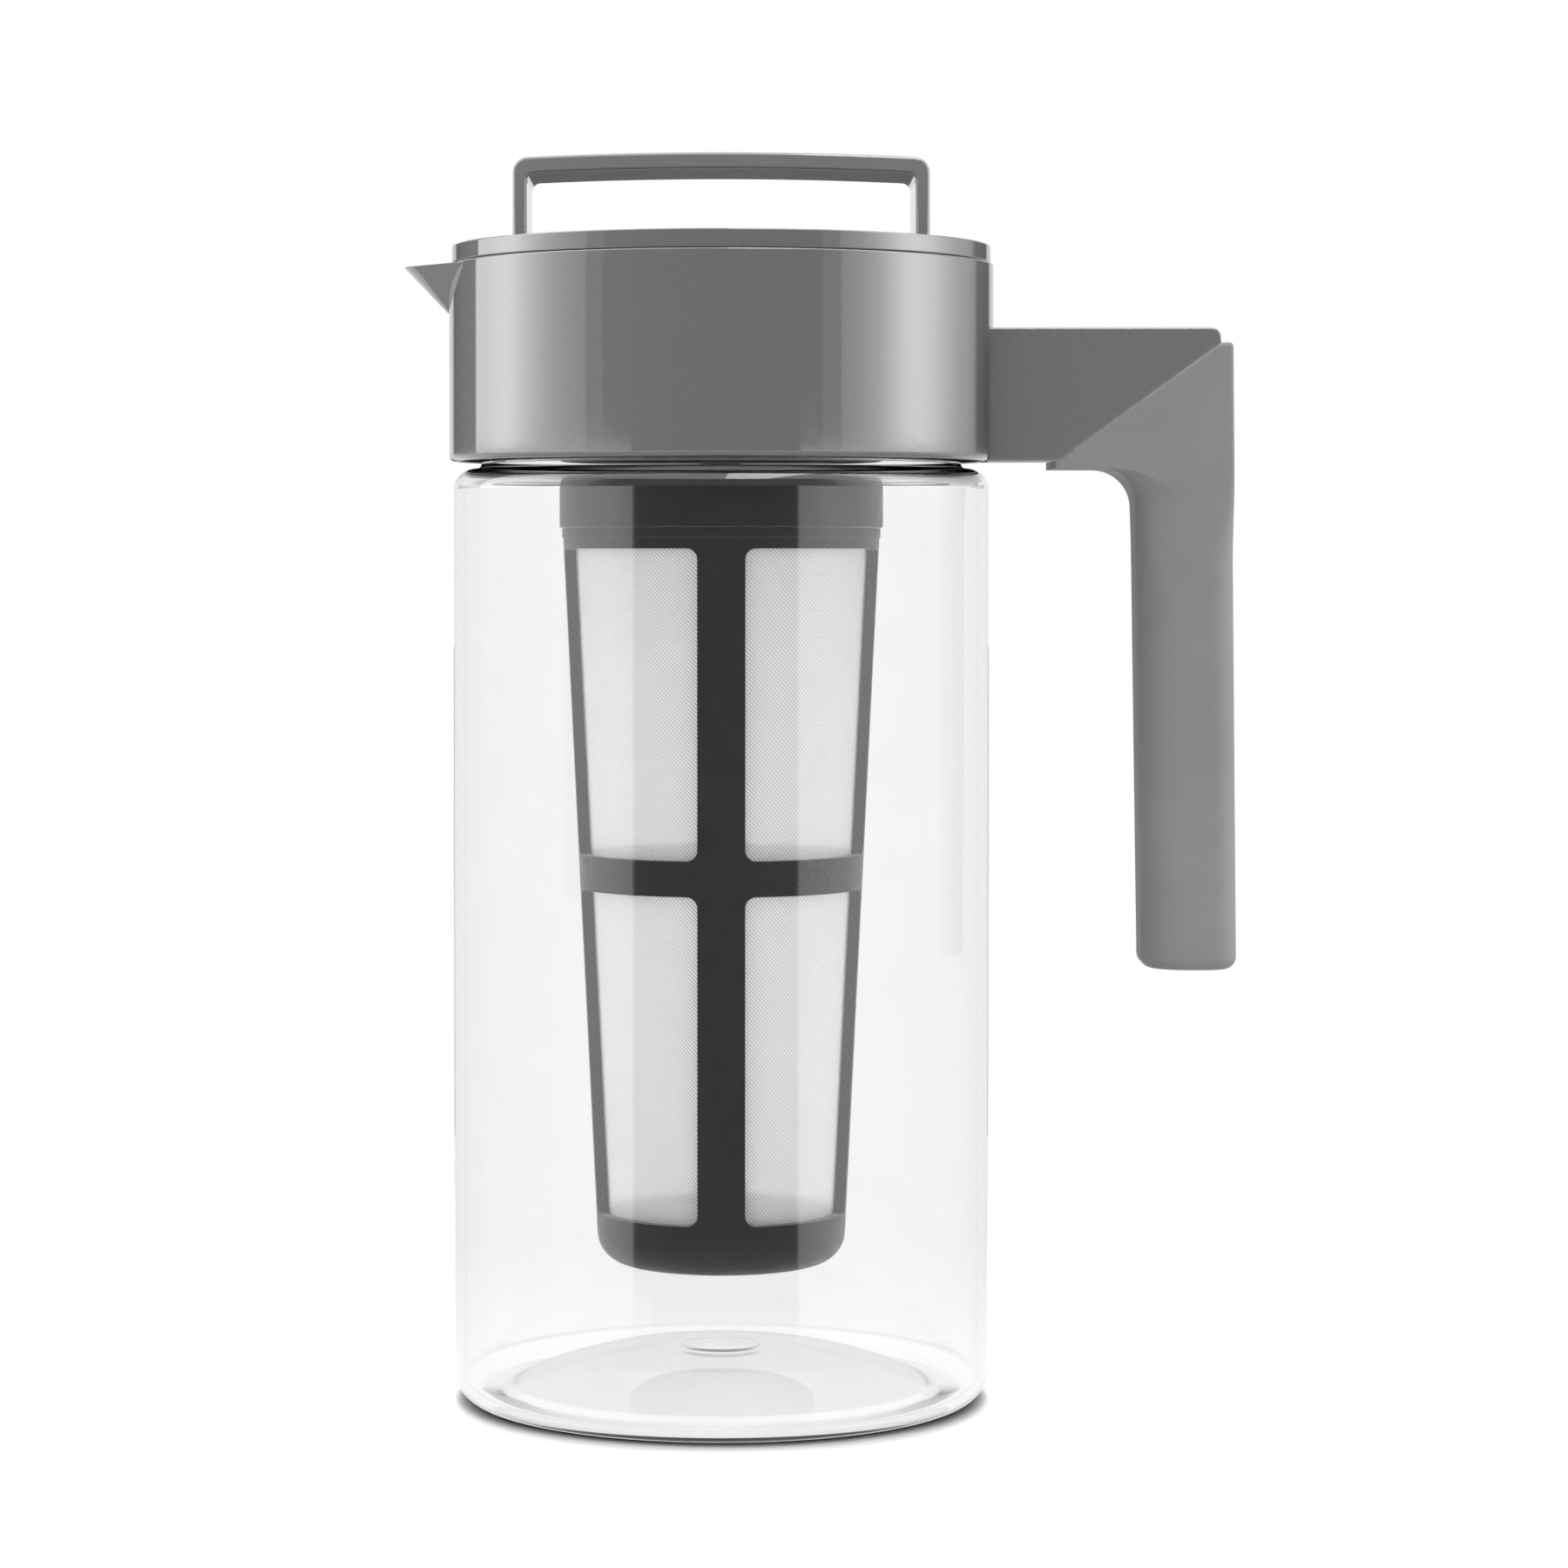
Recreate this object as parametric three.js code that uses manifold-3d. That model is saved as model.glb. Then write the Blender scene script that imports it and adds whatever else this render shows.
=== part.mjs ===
// A cold brew coffee maker: a clear jar with a grey collar, spout and side handle, and a lid that
// carries a dark infuser basket. Millimetres, +Z up. The pieces are shaped round the jar's own axis,
// with the spout at -X and the handle at +X, and the finished group is centred on its whole length.

import * as THREE from "three";
import { mergeVertices } from "three/addons/utils/BufferGeometryUtils.js";
import Module from "manifold-3d";

const wasm = await Module();
wasm.setup();

// Counts of facets
const facetsAround = 48;
const facetsPerCorner = 4;
const facetsPerDome = 5;
const facetsPerArch = 10;
const facetsPerLug = 6;
const facetsPerEnd = 3;

// Fits shared by all pieces
const seatGap = 0.3;
const cutOverrun = 5;
const mergeDistance = 1e-4;

// Jar
const jarRadius = 60;
const jarWall = 2.2;
const jarBaseThickness = 3;
const jarHeelRadius = 6.5;
const jarStandingWidth = 4.5;
const jarPushUpHeight = 9;
const jarGateRadius = 9;
const jarSideHeight = 204.2;
const jarShoulderRadius = 4.6;
const neckInset = 6.2;
const neckRise = 29.2;
const neckBeadDepth = 1.1;
const neckBeadHeight = 2.6;
const neckBeadDrop = 6.8;

// Collar
const collarOverhang = 1;
const collarWall = 2.4;
const collarHeight = 43.7;
const collarLift = 1.7;
const collarHemRadius = 1.2;
const collarRimChamfer = 0.4;

// Neck ring inside the collar: a web over the neck's rim and a skirt that snaps under the neck's bead
const webThickness = 2.2;
const skirtWall = 1.4;
const skirtLipHeight = 2.3;

// Gasket between the neck ring's web and the neck's rim
const gasketThickness = 1.6;

// Spout
const spoutReach = 10;
const spoutHalfWidth = 23;
const spoutDepth = 10;
const spoutWall = 2.3;
const spoutDrop = 0.4;
const spoutKeelRadius = 1.5;
const spoutTipHalfWidth = 0.8;

// Arm, cut at its end by the slanting joint that the grip meets
const armReach = 49.8;
const armHeight = 29;
const armHalfWidth = 13;
const armWall = 2.4;
const armCornerRadius = 2.2;
const armSolidLength = 5;
const jointReachShare = 0.275;
const jointHeadDrop = 2.96;

// Grip and the stiff core inside it
const gripBackProud = 4.1;
const gripBackFlare = 1;
const gripTopDepth = 23.2;
const gripBottomDepth = 22.5;
const gripHeadDrop = 2.8;
const gripLength = 139.7;
const gripChinDepth = 2.4;
const gripChinLead = 1.9;
const gripFilletRadius = 8;
const gripInnerRound = 9;
const gripOuterRound = 6;
const gripEdgeRound = 1;
const gripFadeHeight = 20;
const gripEndRadius = 2.8;
const coreSideWall = 2.7;
const coreEndWall = 4;
const coreHalfWidth = 7;
const coreHeadSetback = 9.3;
const coreHeadDrop = 6.8;

// Lid's cap
const capSetback = 0.6;
const capThickness = 4;
const capPlateThickness = 3;
const capEdgeChamfer = 0.5;
const capSpigotDepth = 2.3;
const capSpigotWall = 2;

// Lid's handle
const bailSetback = 14.3;
const bailLegThickness = 3.1;
const bailBarThickness = 3.6;
const bailHeight = 20.1;
const bailArch = 1.2;
const bailDepth = 30;
const bailOuterRadius = 3.5;
const bailInnerRadius = 2;
const bailTenonDepth = 1.4;

// Lid's plug, which hangs in the neck, and the seal under its drum
const gutterWidth = 4.1;
const drumWall = 2.4;
const drumFloorThickness = 2.2;
const sealThickness = 1.8;
const barrelClearance = 2.1;
const barrelWall = 2.2;
const barrelLength = 35.3;
const barrelToeChamfer = 0.8;
const socketClearance = 1.6;
const socketDepth = 12.5;
const threadClearance = 0.4;
const threadRootDepth = 0.5;
const threadThickness = 1.6;
const threadRise = 4;
const threadSweep = THREE.MathUtils.degToRad(70);
const threadStarts = 3;
const barrelThreadHeight = 17;
const neckThreadHeight = 2.4;

// Infuser's ring, which screws into the plug
const ringRadius = 36.3;
const ringHeight = 13.4;
const ringNeckInset = 2.5;
const ringNeckWall = 2;
const ringNeckHeight = 11.8;
const spigotHeight = 7.2;

// Infuser's basket frame and the mesh sleeve inside it
const frameInset = 0.8;
const frameTaper = 7.6;
const frameWall = 2.4;
const frameFloorGap = 20;
const frameHeelRadius = 7;
const frameFlangeInset = 0.4;
const frameFlangeHeight = 0.9;
const frameTopBand = 3.6;
const frameRibWidth = 10.4;
const midRingHeight = 7.8;
const midRingShare = 0.507;
const cupHeight = 11.2;
const cupLedgeWidth = 1.3;
const cupLedgeDrop = 1.7;
const windowCornerRadius = 2.4;
const meshThickness = 0.6;
const meshLedgeDrop = 1.1;

// Heights and radii that follow from the sizes above
const jarBaseTopZ = jarBaseThickness + jarPushUpHeight + seatGap;
const shoulderZ = jarSideHeight + jarShoulderRadius;
const neckTopZ = shoulderZ + neckRise;
const neckRadius = jarRadius - neckInset;
const neckBoreRadius = neckRadius - jarWall;
const collarBottomZ = shoulderZ + collarLift;
const collarTopZ = collarBottomZ + collarHeight;
const collarRadius = jarRadius + collarOverhang;
const collarBoreRadius = collarRadius - collarWall;
const webBottomZ = neckTopZ + gasketThickness + 2 * seatGap;
const webTopZ = webBottomZ + webThickness;
const gripTopReach = armReach + gripBackProud;
const gripBottomReach = gripTopReach + gripBackFlare;
const capRadius = collarRadius - capSetback;
const bailHalfSpan = capRadius - bailSetback;
const drumRadius = collarBoreRadius - gutterWidth;
const barrelRadius = neckBoreRadius - barrelClearance;
const ringNeckRadius = ringRadius - ringNeckInset;
const ringBoreRadius = ringNeckRadius - ringNeckWall;
const socketRadius = ringNeckRadius + socketClearance;
const frameTopRadius = ringRadius - frameInset;
const frameFlangeRadius = ringRadius - frameFlangeInset;
const frameBottomRadius = frameTopRadius - frameTaper;
const capBottomZ = collarTopZ + seatGap;
const capTopZ = capBottomZ + capThickness;
const drumBottomZ = webTopZ + sealThickness + 2 * seatGap;
const drumTopZ = capBottomZ - seatGap;
const plugBottomZ = drumBottomZ - barrelLength;
const ringTopZ = plugBottomZ - seatGap;
const ringBottomZ = ringTopZ - ringHeight;
const frameTopZ = ringBottomZ - seatGap;
const frameBottomZ = jarBaseThickness + jarPushUpHeight + frameFloorGap;
const frameHeight = frameTopZ - frameBottomZ;
const cupTopZ = frameBottomZ + cupHeight;
const windowTopZ = frameTopZ - frameFlangeHeight - frameTopBand;
const midRingBottomZ = frameBottomZ + midRingShare * frameHeight;
const midRingTopZ = midRingBottomZ + midRingHeight;
const meshTopZ = frameTopZ - frameFlangeHeight - meshLedgeDrop;
const meshBottomZ = cupTopZ - cupLedgeDrop + seatGap;

const point = (x, y) => new THREE.Vector2(x, y);

// Points of an arc in a flat outline, from one angle to another in degrees.
function arc(x, y, radius, from, to, steps = facetsPerCorner) {
  const points = [];
  for (let i = 0; i <= steps; i++) {
    const angle = THREE.MathUtils.degToRad(from + ((to - from) * i) / steps);
    points.push(point(x + radius * Math.cos(angle), y + radius * Math.sin(angle)));
  }
  return points;
}

// A profile of radius and height, turned about the jar's axis. It runs counter-clockwise.
function turned(profile) {
  return new THREE.LatheGeometry(profile, facetsAround).rotateX(Math.PI / 2);
}

// A closed profile, turned about the jar's axis.
function turnedRing(profile) {
  return turned([...profile, profile[0]]);
}

// An outline of x and z, made as thick in y as twice the half width.
function slab(outline, halfWidth) {
  const settings = { depth: 2 * halfWidth, bevelEnabled: false };
  const geometry = new THREE.ExtrudeGeometry(new THREE.Shape(outline), settings);
  return geometry.rotateX(Math.PI / 2).translate(0, halfWidth, 0);
}

// A closed skin over rings of as many points each, every ring counter-clockwise about the way they run.
function lofted(rings) {
  const count = rings[0].length;
  const positions = rings.flat().flatMap((p) => [p.x, p.y, p.z]);
  const faces = [];
  for (let i = 0; i + 1 < rings.length; i++) {
    for (let j = 0; j < count; j++) {
      const near = i * count + j;
      const beside = i * count + ((j + 1) % count);
      faces.push(near, beside, beside + count);
      faces.push(near, beside + count, near + count);
    }
  }
  const last = (rings.length - 1) * count;
  for (let j = 1; j + 1 < count; j++) {
    faces.push(0, j + 1, j);
    faces.push(last, last + j, last + j + 1);
  }
  const geometry = new THREE.BufferGeometry();
  geometry.setAttribute("position", new THREE.Float32BufferAttribute(positions, 3));
  geometry.setIndex(faces);
  return geometry;
}

// A geometry as a solid that can be joined and cut.
function solid(geometry) {
  const bare = geometry.clone();
  bare.deleteAttribute("normal");
  bare.deleteAttribute("uv");
  const merged = mergeVertices(bare, mergeDistance);
  const vertProperties = merged.attributes.position.array;
  const triVerts = new Uint32Array(merged.index.array);
  return new wasm.Manifold(new wasm.Mesh({ numProp: 3, vertProperties, triVerts }));
}

// A solid back as a geometry for a mesh.
function skin(body) {
  const { numProp, vertProperties, triVerts } = body.getMesh();
  const geometry = new THREE.BufferGeometry();
  const positions = new THREE.InterleavedBuffer(vertProperties, numProp);
  geometry.setAttribute("position", new THREE.InterleavedBufferAttribute(positions, 3, 0));
  geometry.setIndex(new THREE.BufferAttribute(triVerts, 1));
  const loose = geometry.toNonIndexed();
  loose.computeVertexNormals();
  return loose;
}

// Underside of the jar's base: a flat gate disc that falls away in a dome to the standing ring.
function domePoints(lift) {
  const edge = jarRadius - jarHeelRadius - jarStandingWidth;
  const points = [point(0, jarPushUpHeight + lift)];
  for (let i = 0; i <= facetsPerDome; i++) {
    const share = i / facetsPerDome;
    const radius = jarGateRadius + (edge - jarGateRadius) * share;
    points.push(point(radius, jarPushUpHeight * (1 - share * share) + lift));
  }
  return points;
}

// Jar's base: a floor pushed up in the middle, with a rounded heel. It ends just above the floor's top.
function jarBaseGeometry() {
  const heelCentre = jarRadius - jarHeelRadius;
  return turned([
    ...domePoints(0),
    ...arc(heelCentre, jarHeelRadius, jarHeelRadius, -90, 0),
    point(jarRadius, jarBaseTopZ),
    point(jarRadius - jarWall, jarBaseTopZ),
    ...arc(heelCentre, jarHeelRadius, jarHeelRadius - jarWall, 0, -90),
    ...domePoints(jarBaseThickness).reverse(),
  ]);
}

// Jar's straight side.
function jarSideGeometry() {
  return turnedRing([
    point(jarRadius - jarWall, jarBaseTopZ + seatGap),
    point(jarRadius, jarBaseTopZ + seatGap),
    point(jarRadius, jarSideHeight - seatGap),
    point(jarRadius - jarWall, jarSideHeight - seatGap),
  ]);
}

// Jar's tight shoulder and its neck, with the bead that holds the neck ring.
function jarNeckGeometry() {
  const shoulderCentre = jarRadius - jarShoulderRadius;
  const beadTopZ = neckTopZ - neckBeadDrop;
  const beadBottomZ = beadTopZ - neckBeadHeight;
  const beadSlope = neckBeadDepth / 2;
  return turnedRing([
    ...arc(shoulderCentre, jarSideHeight, jarShoulderRadius, 0, 90),
    point(neckRadius, shoulderZ),
    point(neckRadius, beadBottomZ),
    point(neckRadius + neckBeadDepth, beadBottomZ + beadSlope),
    point(neckRadius + neckBeadDepth, beadTopZ - beadSlope),
    point(neckRadius, beadTopZ),
    point(neckRadius, neckTopZ),
    point(neckBoreRadius, neckTopZ),
    point(neckBoreRadius, shoulderZ - jarWall),
    ...arc(shoulderCentre, jarSideHeight, jarShoulderRadius - jarWall, 90, 0),
  ]);
}

// Collar's band, before the spout and the arm are joined to it.
function collarBand() {
  return turnedRing([
    point(collarBoreRadius, collarBottomZ),
    ...arc(collarRadius - collarHemRadius, collarBottomZ + collarHemRadius, collarHemRadius, -90, 0, 3),
    point(collarRadius, collarTopZ - collarRimChamfer),
    point(collarRadius - collarRimChamfer, collarTopZ),
    point(collarBoreRadius, collarTopZ),
  ]);
}

// Neck ring: a web over the neck's rim, welded into the collar, with a skirt that snaps under the bead.
function neckRingGeometry() {
  const webRadius = collarBoreRadius - seatGap;
  const skirtBoreRadius = neckRadius + neckBeadDepth + seatGap;
  const skirtRadius = skirtBoreRadius + skirtWall;
  const lipTopZ = neckTopZ - neckBeadDrop - neckBeadHeight - seatGap;
  const lipBottomZ = lipTopZ - skirtLipHeight;
  return turnedRing([
    point(webRadius, webBottomZ),
    point(webRadius, webTopZ),
    point(neckBoreRadius, webTopZ),
    point(neckBoreRadius, webBottomZ),
    point(skirtBoreRadius, webBottomZ),
    point(skirtBoreRadius, lipTopZ),
    point(neckRadius + seatGap, lipTopZ),
    point(neckRadius + seatGap, lipBottomZ),
    point(skirtRadius, lipBottomZ),
    point(skirtRadius, webBottomZ),
  ]);
}

// Section of the spout across its length: flat sides that meet in a rounded keel, closed at topZ.
function spoutSection(x, halfWidth, depth, topZ) {
  const rimZ = collarTopZ - spoutDrop;
  const round = Math.min(spoutKeelRadius, depth / 3, halfWidth / 3);
  const slope = Math.atan2(depth, halfWidth);
  const keelZ = rimZ - depth + round / Math.cos(slope);
  const turn = THREE.MathUtils.radToDeg(slope);
  const keel = arc(0, keelZ, round, -90 - turn, -90 + turn, facetsPerCorner);
  const rims = [
    point(halfWidth, rimZ),
    point(halfWidth, topZ),
    point(-halfWidth, topZ),
    point(-halfWidth, rimZ),
  ];
  return [...rims, ...keel].map((p) => new THREE.Vector3(x, p.x, p.y));
}

// Spout's outer body. It is largest where its top edges run into the collar's band.
function spoutBody() {
  const tipX = -collarRadius - spoutReach;
  const rootX = -Math.sqrt(collarRadius ** 2 - spoutHalfWidth ** 2);
  const halfWidthAt = (x) => (spoutHalfWidth * (x - tipX)) / (rootX - tipX);
  const topZ = collarTopZ - spoutDrop / 2;
  return lofted([
    spoutSection(tipX, spoutTipHalfWidth, spoutTipHalfWidth, topZ),
    spoutSection(-collarRadius, halfWidthAt(-collarRadius), spoutDepth, topZ),
    spoutSection(rootX, spoutHalfWidth, spoutDepth + spoutDrop, topZ),
  ]);
}

// Channel cut in the spout and on through the collar's band, so that the jar can pour.
function spoutChannel() {
  const tipX = -collarRadius - spoutReach + spoutWall;
  const rootX = -Math.sqrt(collarRadius ** 2 - spoutHalfWidth ** 2);
  const halfWidth = spoutHalfWidth - spoutWall;
  const depth = spoutDepth - spoutWall;
  const halfWidthAt = (x) => (halfWidth * (x - tipX)) / (rootX - tipX);
  const topZ = collarTopZ + cutOverrun;
  return lofted([
    spoutSection(tipX, spoutTipHalfWidth, spoutTipHalfWidth, topZ),
    spoutSection(-collarRadius, halfWidthAt(-collarRadius), depth, topZ),
    spoutSection(rootX, halfWidth, depth, topZ),
    spoutSection(rootX + cutOverrun, halfWidth, depth, topZ),
  ]);
}

const armEndX = collarRadius + armReach;
const armTopZ = collarBottomZ + armHeight;
const jointStartX = collarRadius + jointReachShare * armReach;
const jointRise = armHeight - jointHeadDrop;
const jointAngle = Math.atan2(jointRise, armEndX - jointStartX);

// Height of the slanting joint between arm and grip.
const jointZ = (x) => collarBottomZ + (x - jointStartX) * Math.tan(jointAngle);

// Arm, moulded with the collar. Its lower end is cut along the joint.
function armBody() {
  const rootX = collarBoreRadius + collarWall / 10;
  return slab(
    [
      point(rootX, collarBottomZ),
      point(jointStartX, collarBottomZ),
      point(armEndX, jointZ(armEndX)),
      ...arc(armEndX - armCornerRadius, armTopZ - armCornerRadius, armCornerRadius, 0, 90),
      point(rootX, armTopZ),
    ],
    armHalfWidth,
  );
}

// Core of the handle: a flat tenon that fills the arm's pocket and a stem down inside the grip.
// The same form, grown by the fit, makes the pocket in the arm and the hollow in the grip.
function coreBody(growth) {
  const tenonLeft = collarRadius + armSolidLength - growth;
  const tenonBottom = collarBottomZ + armWall + seatGap - growth;
  const tenonTop = armTopZ - armWall - seatGap + growth;
  const right = collarRadius + gripTopReach - coreSideWall + growth;
  const headRight = armEndX - coreHeadSetback + growth;
  const headBottom = armTopZ - armWall - coreHeadDrop - seatGap + growth;
  const stemLeft = collarRadius + gripBottomReach - gripBottomDepth + coreSideWall - growth;
  const stemBottom = armTopZ - gripHeadDrop - gripLength + coreEndWall - growth;
  const tenon = slab(
    [
      point(tenonLeft, tenonBottom),
      point(right, tenonBottom),
      point(right, headBottom),
      point(headRight, headBottom),
      point(headRight, tenonTop),
      point(tenonLeft, tenonTop),
    ],
    armHalfWidth - armWall - seatGap + growth,
  );
  const stem = slab(
    [
      point(stemLeft, stemBottom),
      point(right, stemBottom),
      point(right, tenonBottom + armWall),
      point(stemLeft, tenonBottom + armWall),
    ],
    coreHalfWidth + growth,
  );
  return solid(tenon).add(solid(stem));
}

// Collar with spout and arm in one moulding.
function collarGeometry() {
  const boreDepth = collarTopZ - webTopZ;
  const bore = new THREE.CylinderGeometry(
    collarBoreRadius,
    collarBoreRadius,
    boreDepth + cutOverrun,
    facetsAround,
  );
  bore.rotateX(Math.PI / 2).translate(0, 0, webTopZ + (boreDepth + cutOverrun) / 2);
  return skin(
    solid(collarBand())
      .add(solid(spoutBody()))
      .add(solid(armBody()))
      .subtract(solid(bore))
      .subtract(solid(spoutChannel()))
      .subtract(coreBody(seatGap)),
  );
}

// Ring of the grip at one height: a rounded rectangle whose inner and outer corners have their own radii.
function gripRing(z, left, right, halfWidth, innerRound, outerRound) {
  const corners = [
    ...arc(right - outerRound, -halfWidth + outerRound, outerRound, -90, 0),
    ...arc(right - outerRound, halfWidth - outerRound, outerRound, 0, 90),
    ...arc(left + innerRound, halfWidth - innerRound, innerRound, 90, 180),
    ...arc(left + innerRound, -halfWidth + innerRound, innerRound, 180, 270),
  ];
  return corners.map((p) => new THREE.Vector3(p.x, p.y, z));
}

// Grip: a rounded bar that turns square as it runs up into a wedge, with a hollow for the core.
function gripGeometry() {
  const topZ = armTopZ - gripHeadDrop;
  const bottomZ = topZ - gripLength;
  const chinZ = collarBottomZ - gripChinDepth;
  const outerTop = collarRadius + gripTopReach;
  const outerBottom = collarRadius + gripBottomReach;
  const shareAt = (z) => (topZ - z) / gripLength;
  const rightAt = (z) => THREE.MathUtils.lerp(outerTop, outerBottom, shareAt(z));
  const depthAt = (z) => THREE.MathUtils.lerp(gripTopDepth, gripBottomDepth, shareAt(z));
  // The inner face swells out into the wedge along a fillet.
  const filletAt = (z) => {
    const rise = Math.max(0, z - chinZ + gripFilletRadius);
    return gripFilletRadius - Math.sqrt(Math.max(0, gripFilletRadius ** 2 - rise ** 2));
  };
  const fadeAt = (z) => THREE.MathUtils.smoothstep(z, chinZ - gripFadeHeight, chinZ);
  const ringAt = (z, inset = 0) =>
    gripRing(
      z,
      rightAt(z) - depthAt(z) - filletAt(z) + inset,
      rightAt(z) - inset,
      armHalfWidth - inset,
      THREE.MathUtils.lerp(gripInnerRound, gripEdgeRound, fadeAt(z)),
      THREE.MathUtils.lerp(gripOuterRound, gripEdgeRound, fadeAt(z)),
    );
  const rings = [];
  for (let i = 0; i < facetsPerEnd; i++) {
    const angle = (Math.PI / 2) * (1 - i / facetsPerEnd);
    const rise = gripEndRadius * (1 - Math.sin(angle));
    rings.push(ringAt(bottomZ + rise, gripEndRadius * (1 - Math.cos(angle))));
  }
  rings.push(ringAt(bottomZ + gripEndRadius));
  const fadeShares = [0, 0.25, 0.5, 0.6, 0.7, 0.8, 0.9, 0.96, 1];
  for (const share of fadeShares) rings.push(ringAt(chinZ - gripFadeHeight * (1 - share)));
  const chinLeft = jointStartX - gripChinLead;
  const fit = seatGap / Math.cos(jointAngle);
  const wedgeX = (z) => jointStartX + (z + fit - collarBottomZ) / Math.tan(jointAngle);
  const wedge = slab(
    [
      point(chinLeft, chinZ),
      point(rightAt(chinZ), chinZ),
      ...arc(outerTop - gripEdgeRound, topZ - gripEdgeRound, gripEdgeRound, 0, 90, 3),
      point(wedgeX(topZ), topZ),
      point(wedgeX(collarBottomZ - seatGap), collarBottomZ - seatGap),
      point(chinLeft, collarBottomZ - seatGap),
    ],
    armHalfWidth,
  );
  return skin(solid(lofted(rings)).add(solid(wedge)).subtract(coreBody(seatGap)));
}

// Lid's cap: a disc with a spigot that centres it in the plug's drum and two pockets for the handle's feet.
function capGeometry() {
  const spigotRadius = drumRadius - drumWall - seatGap;
  const plateBottomZ = capTopZ - capPlateThickness;
  const disc = turned([
    point(0, plateBottomZ),
    point(spigotRadius - capSpigotWall, plateBottomZ),
    point(spigotRadius - capSpigotWall, capBottomZ - capSpigotDepth),
    point(spigotRadius, capBottomZ - capSpigotDepth),
    point(spigotRadius, capBottomZ),
    point(capRadius - capEdgeChamfer, capBottomZ),
    point(capRadius, capBottomZ + capEdgeChamfer),
    point(capRadius, capTopZ - capEdgeChamfer),
    point(capRadius - capEdgeChamfer, capTopZ),
    point(0, capTopZ),
  ]);
  let cap = solid(disc);
  for (const side of [-1, 1]) {
    const pocket = new THREE.BoxGeometry(
      bailLegThickness + 2 * seatGap,
      bailDepth + 2 * seatGap,
      2 * (bailTenonDepth + seatGap),
    );
    pocket.translate(side * (bailHalfSpan - bailLegThickness / 2), 0, capTopZ);
    cap = cap.subtract(solid(pocket));
  }
  return skin(cap);
}

// Lid's handle: one wide strap, bent down at both ends, with a slightly arched bar.
function bailGeometry() {
  const footZ = capTopZ - bailTenonDepth;
  const crownZ = capTopZ + bailHeight;
  const archZ = (x) => crownZ - bailArch * (x / bailHalfSpan) ** 2;
  const outerX = bailHalfSpan - bailOuterRadius;
  const innerX = bailHalfSpan - bailLegThickness - bailInnerRadius;
  const outerCornerZ = archZ(outerX) - bailOuterRadius;
  const innerCornerZ = archZ(innerX) - bailBarThickness - bailInnerRadius;
  const outline = [point(bailHalfSpan, footZ), ...arc(outerX, outerCornerZ, bailOuterRadius, 0, 90)];
  for (let i = 1; i < facetsPerArch; i++) {
    const x = outerX * (1 - (2 * i) / facetsPerArch);
    outline.push(point(x, archZ(x)));
  }
  outline.push(...arc(-outerX, outerCornerZ, bailOuterRadius, 90, 180));
  outline.push(point(-bailHalfSpan, footZ), point(bailLegThickness - bailHalfSpan, footZ));
  outline.push(...arc(-innerX, innerCornerZ, bailInnerRadius, 180, 90));
  for (let i = 1; i < facetsPerArch; i++) {
    const x = innerX * ((2 * i) / facetsPerArch - 1);
    outline.push(point(x, archZ(x) - bailBarThickness));
  }
  outline.push(...arc(innerX, innerCornerZ, bailInnerRadius, 90, 0));
  outline.push(point(bailHalfSpan - bailLegThickness, footZ));
  return slab(outline, bailDepth / 2);
}

// Thread lugs round a cylinder: short ridges that climb a little and run out to nothing at both ends.
function threadLugs(rootRadius, crestRadius, baseZ) {
  let lugs = null;
  for (let start = 0; start < threadStarts; start++) {
    const rings = [];
    for (let i = 0; i <= facetsPerLug; i++) {
      const share = i / facetsPerLug;
      const angle = (2 * Math.PI * start) / threadStarts + threadSweep * share;
      const crest = i === 0 || i === facetsPerLug ? rootRadius : crestRadius;
      const z = baseZ + threadRise * share;
      const at = (radius, height) =>
        new THREE.Vector3(radius * Math.cos(angle), radius * Math.sin(angle), height);
      rings.push([
        at(rootRadius - threadRootDepth, z),
        at(rootRadius - threadRootDepth, z + threadThickness),
        at(crest, z + (threadThickness * 2) / 3),
        at(crest, z + threadThickness / 3),
      ]);
    }
    const lug = solid(lofted(rings));
    lugs = lugs ? lugs.add(lug) : lug;
  }
  return lugs;
}

// Lid's plug: a drum that closes the collar, a hollow barrel down the neck and a socket for the infuser.
function plugGeometry() {
  const drumBore = drumRadius - drumWall;
  const drumFloorZ = drumBottomZ + drumFloorThickness;
  const barrelBore = barrelRadius - barrelWall;
  const socketWallRadius = socketRadius + barrelWall;
  const socketCeilingZ = plugBottomZ + socketDepth;
  const body = turned([
    point(0, socketCeilingZ),
    point(socketRadius, socketCeilingZ),
    point(socketRadius, plugBottomZ),
    point(barrelRadius - barrelToeChamfer, plugBottomZ),
    point(barrelRadius, plugBottomZ + barrelToeChamfer),
    point(barrelRadius, drumBottomZ),
    point(drumRadius, drumBottomZ),
    point(drumRadius, drumTopZ),
    point(drumBore, drumTopZ),
    point(drumBore, drumFloorZ),
    point(barrelBore, drumFloorZ),
    point(barrelBore, plugBottomZ + barrelWall),
    point(socketWallRadius, plugBottomZ + barrelWall),
    point(socketWallRadius, socketCeilingZ + barrelWall),
    point(0, socketCeilingZ + barrelWall),
  ]);
  const crest = neckBoreRadius - threadClearance;
  return skin(solid(body).add(threadLugs(barrelRadius, crest, plugBottomZ + barrelThreadHeight)));
}

// A flat sealing ring between two radii and two heights.
function washerGeometry(innerRadius, outerRadius, lowZ, highZ) {
  return turnedRing([
    point(innerRadius, lowZ),
    point(outerRadius, lowZ),
    point(outerRadius, highZ),
    point(innerRadius, highZ),
  ]);
}

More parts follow.
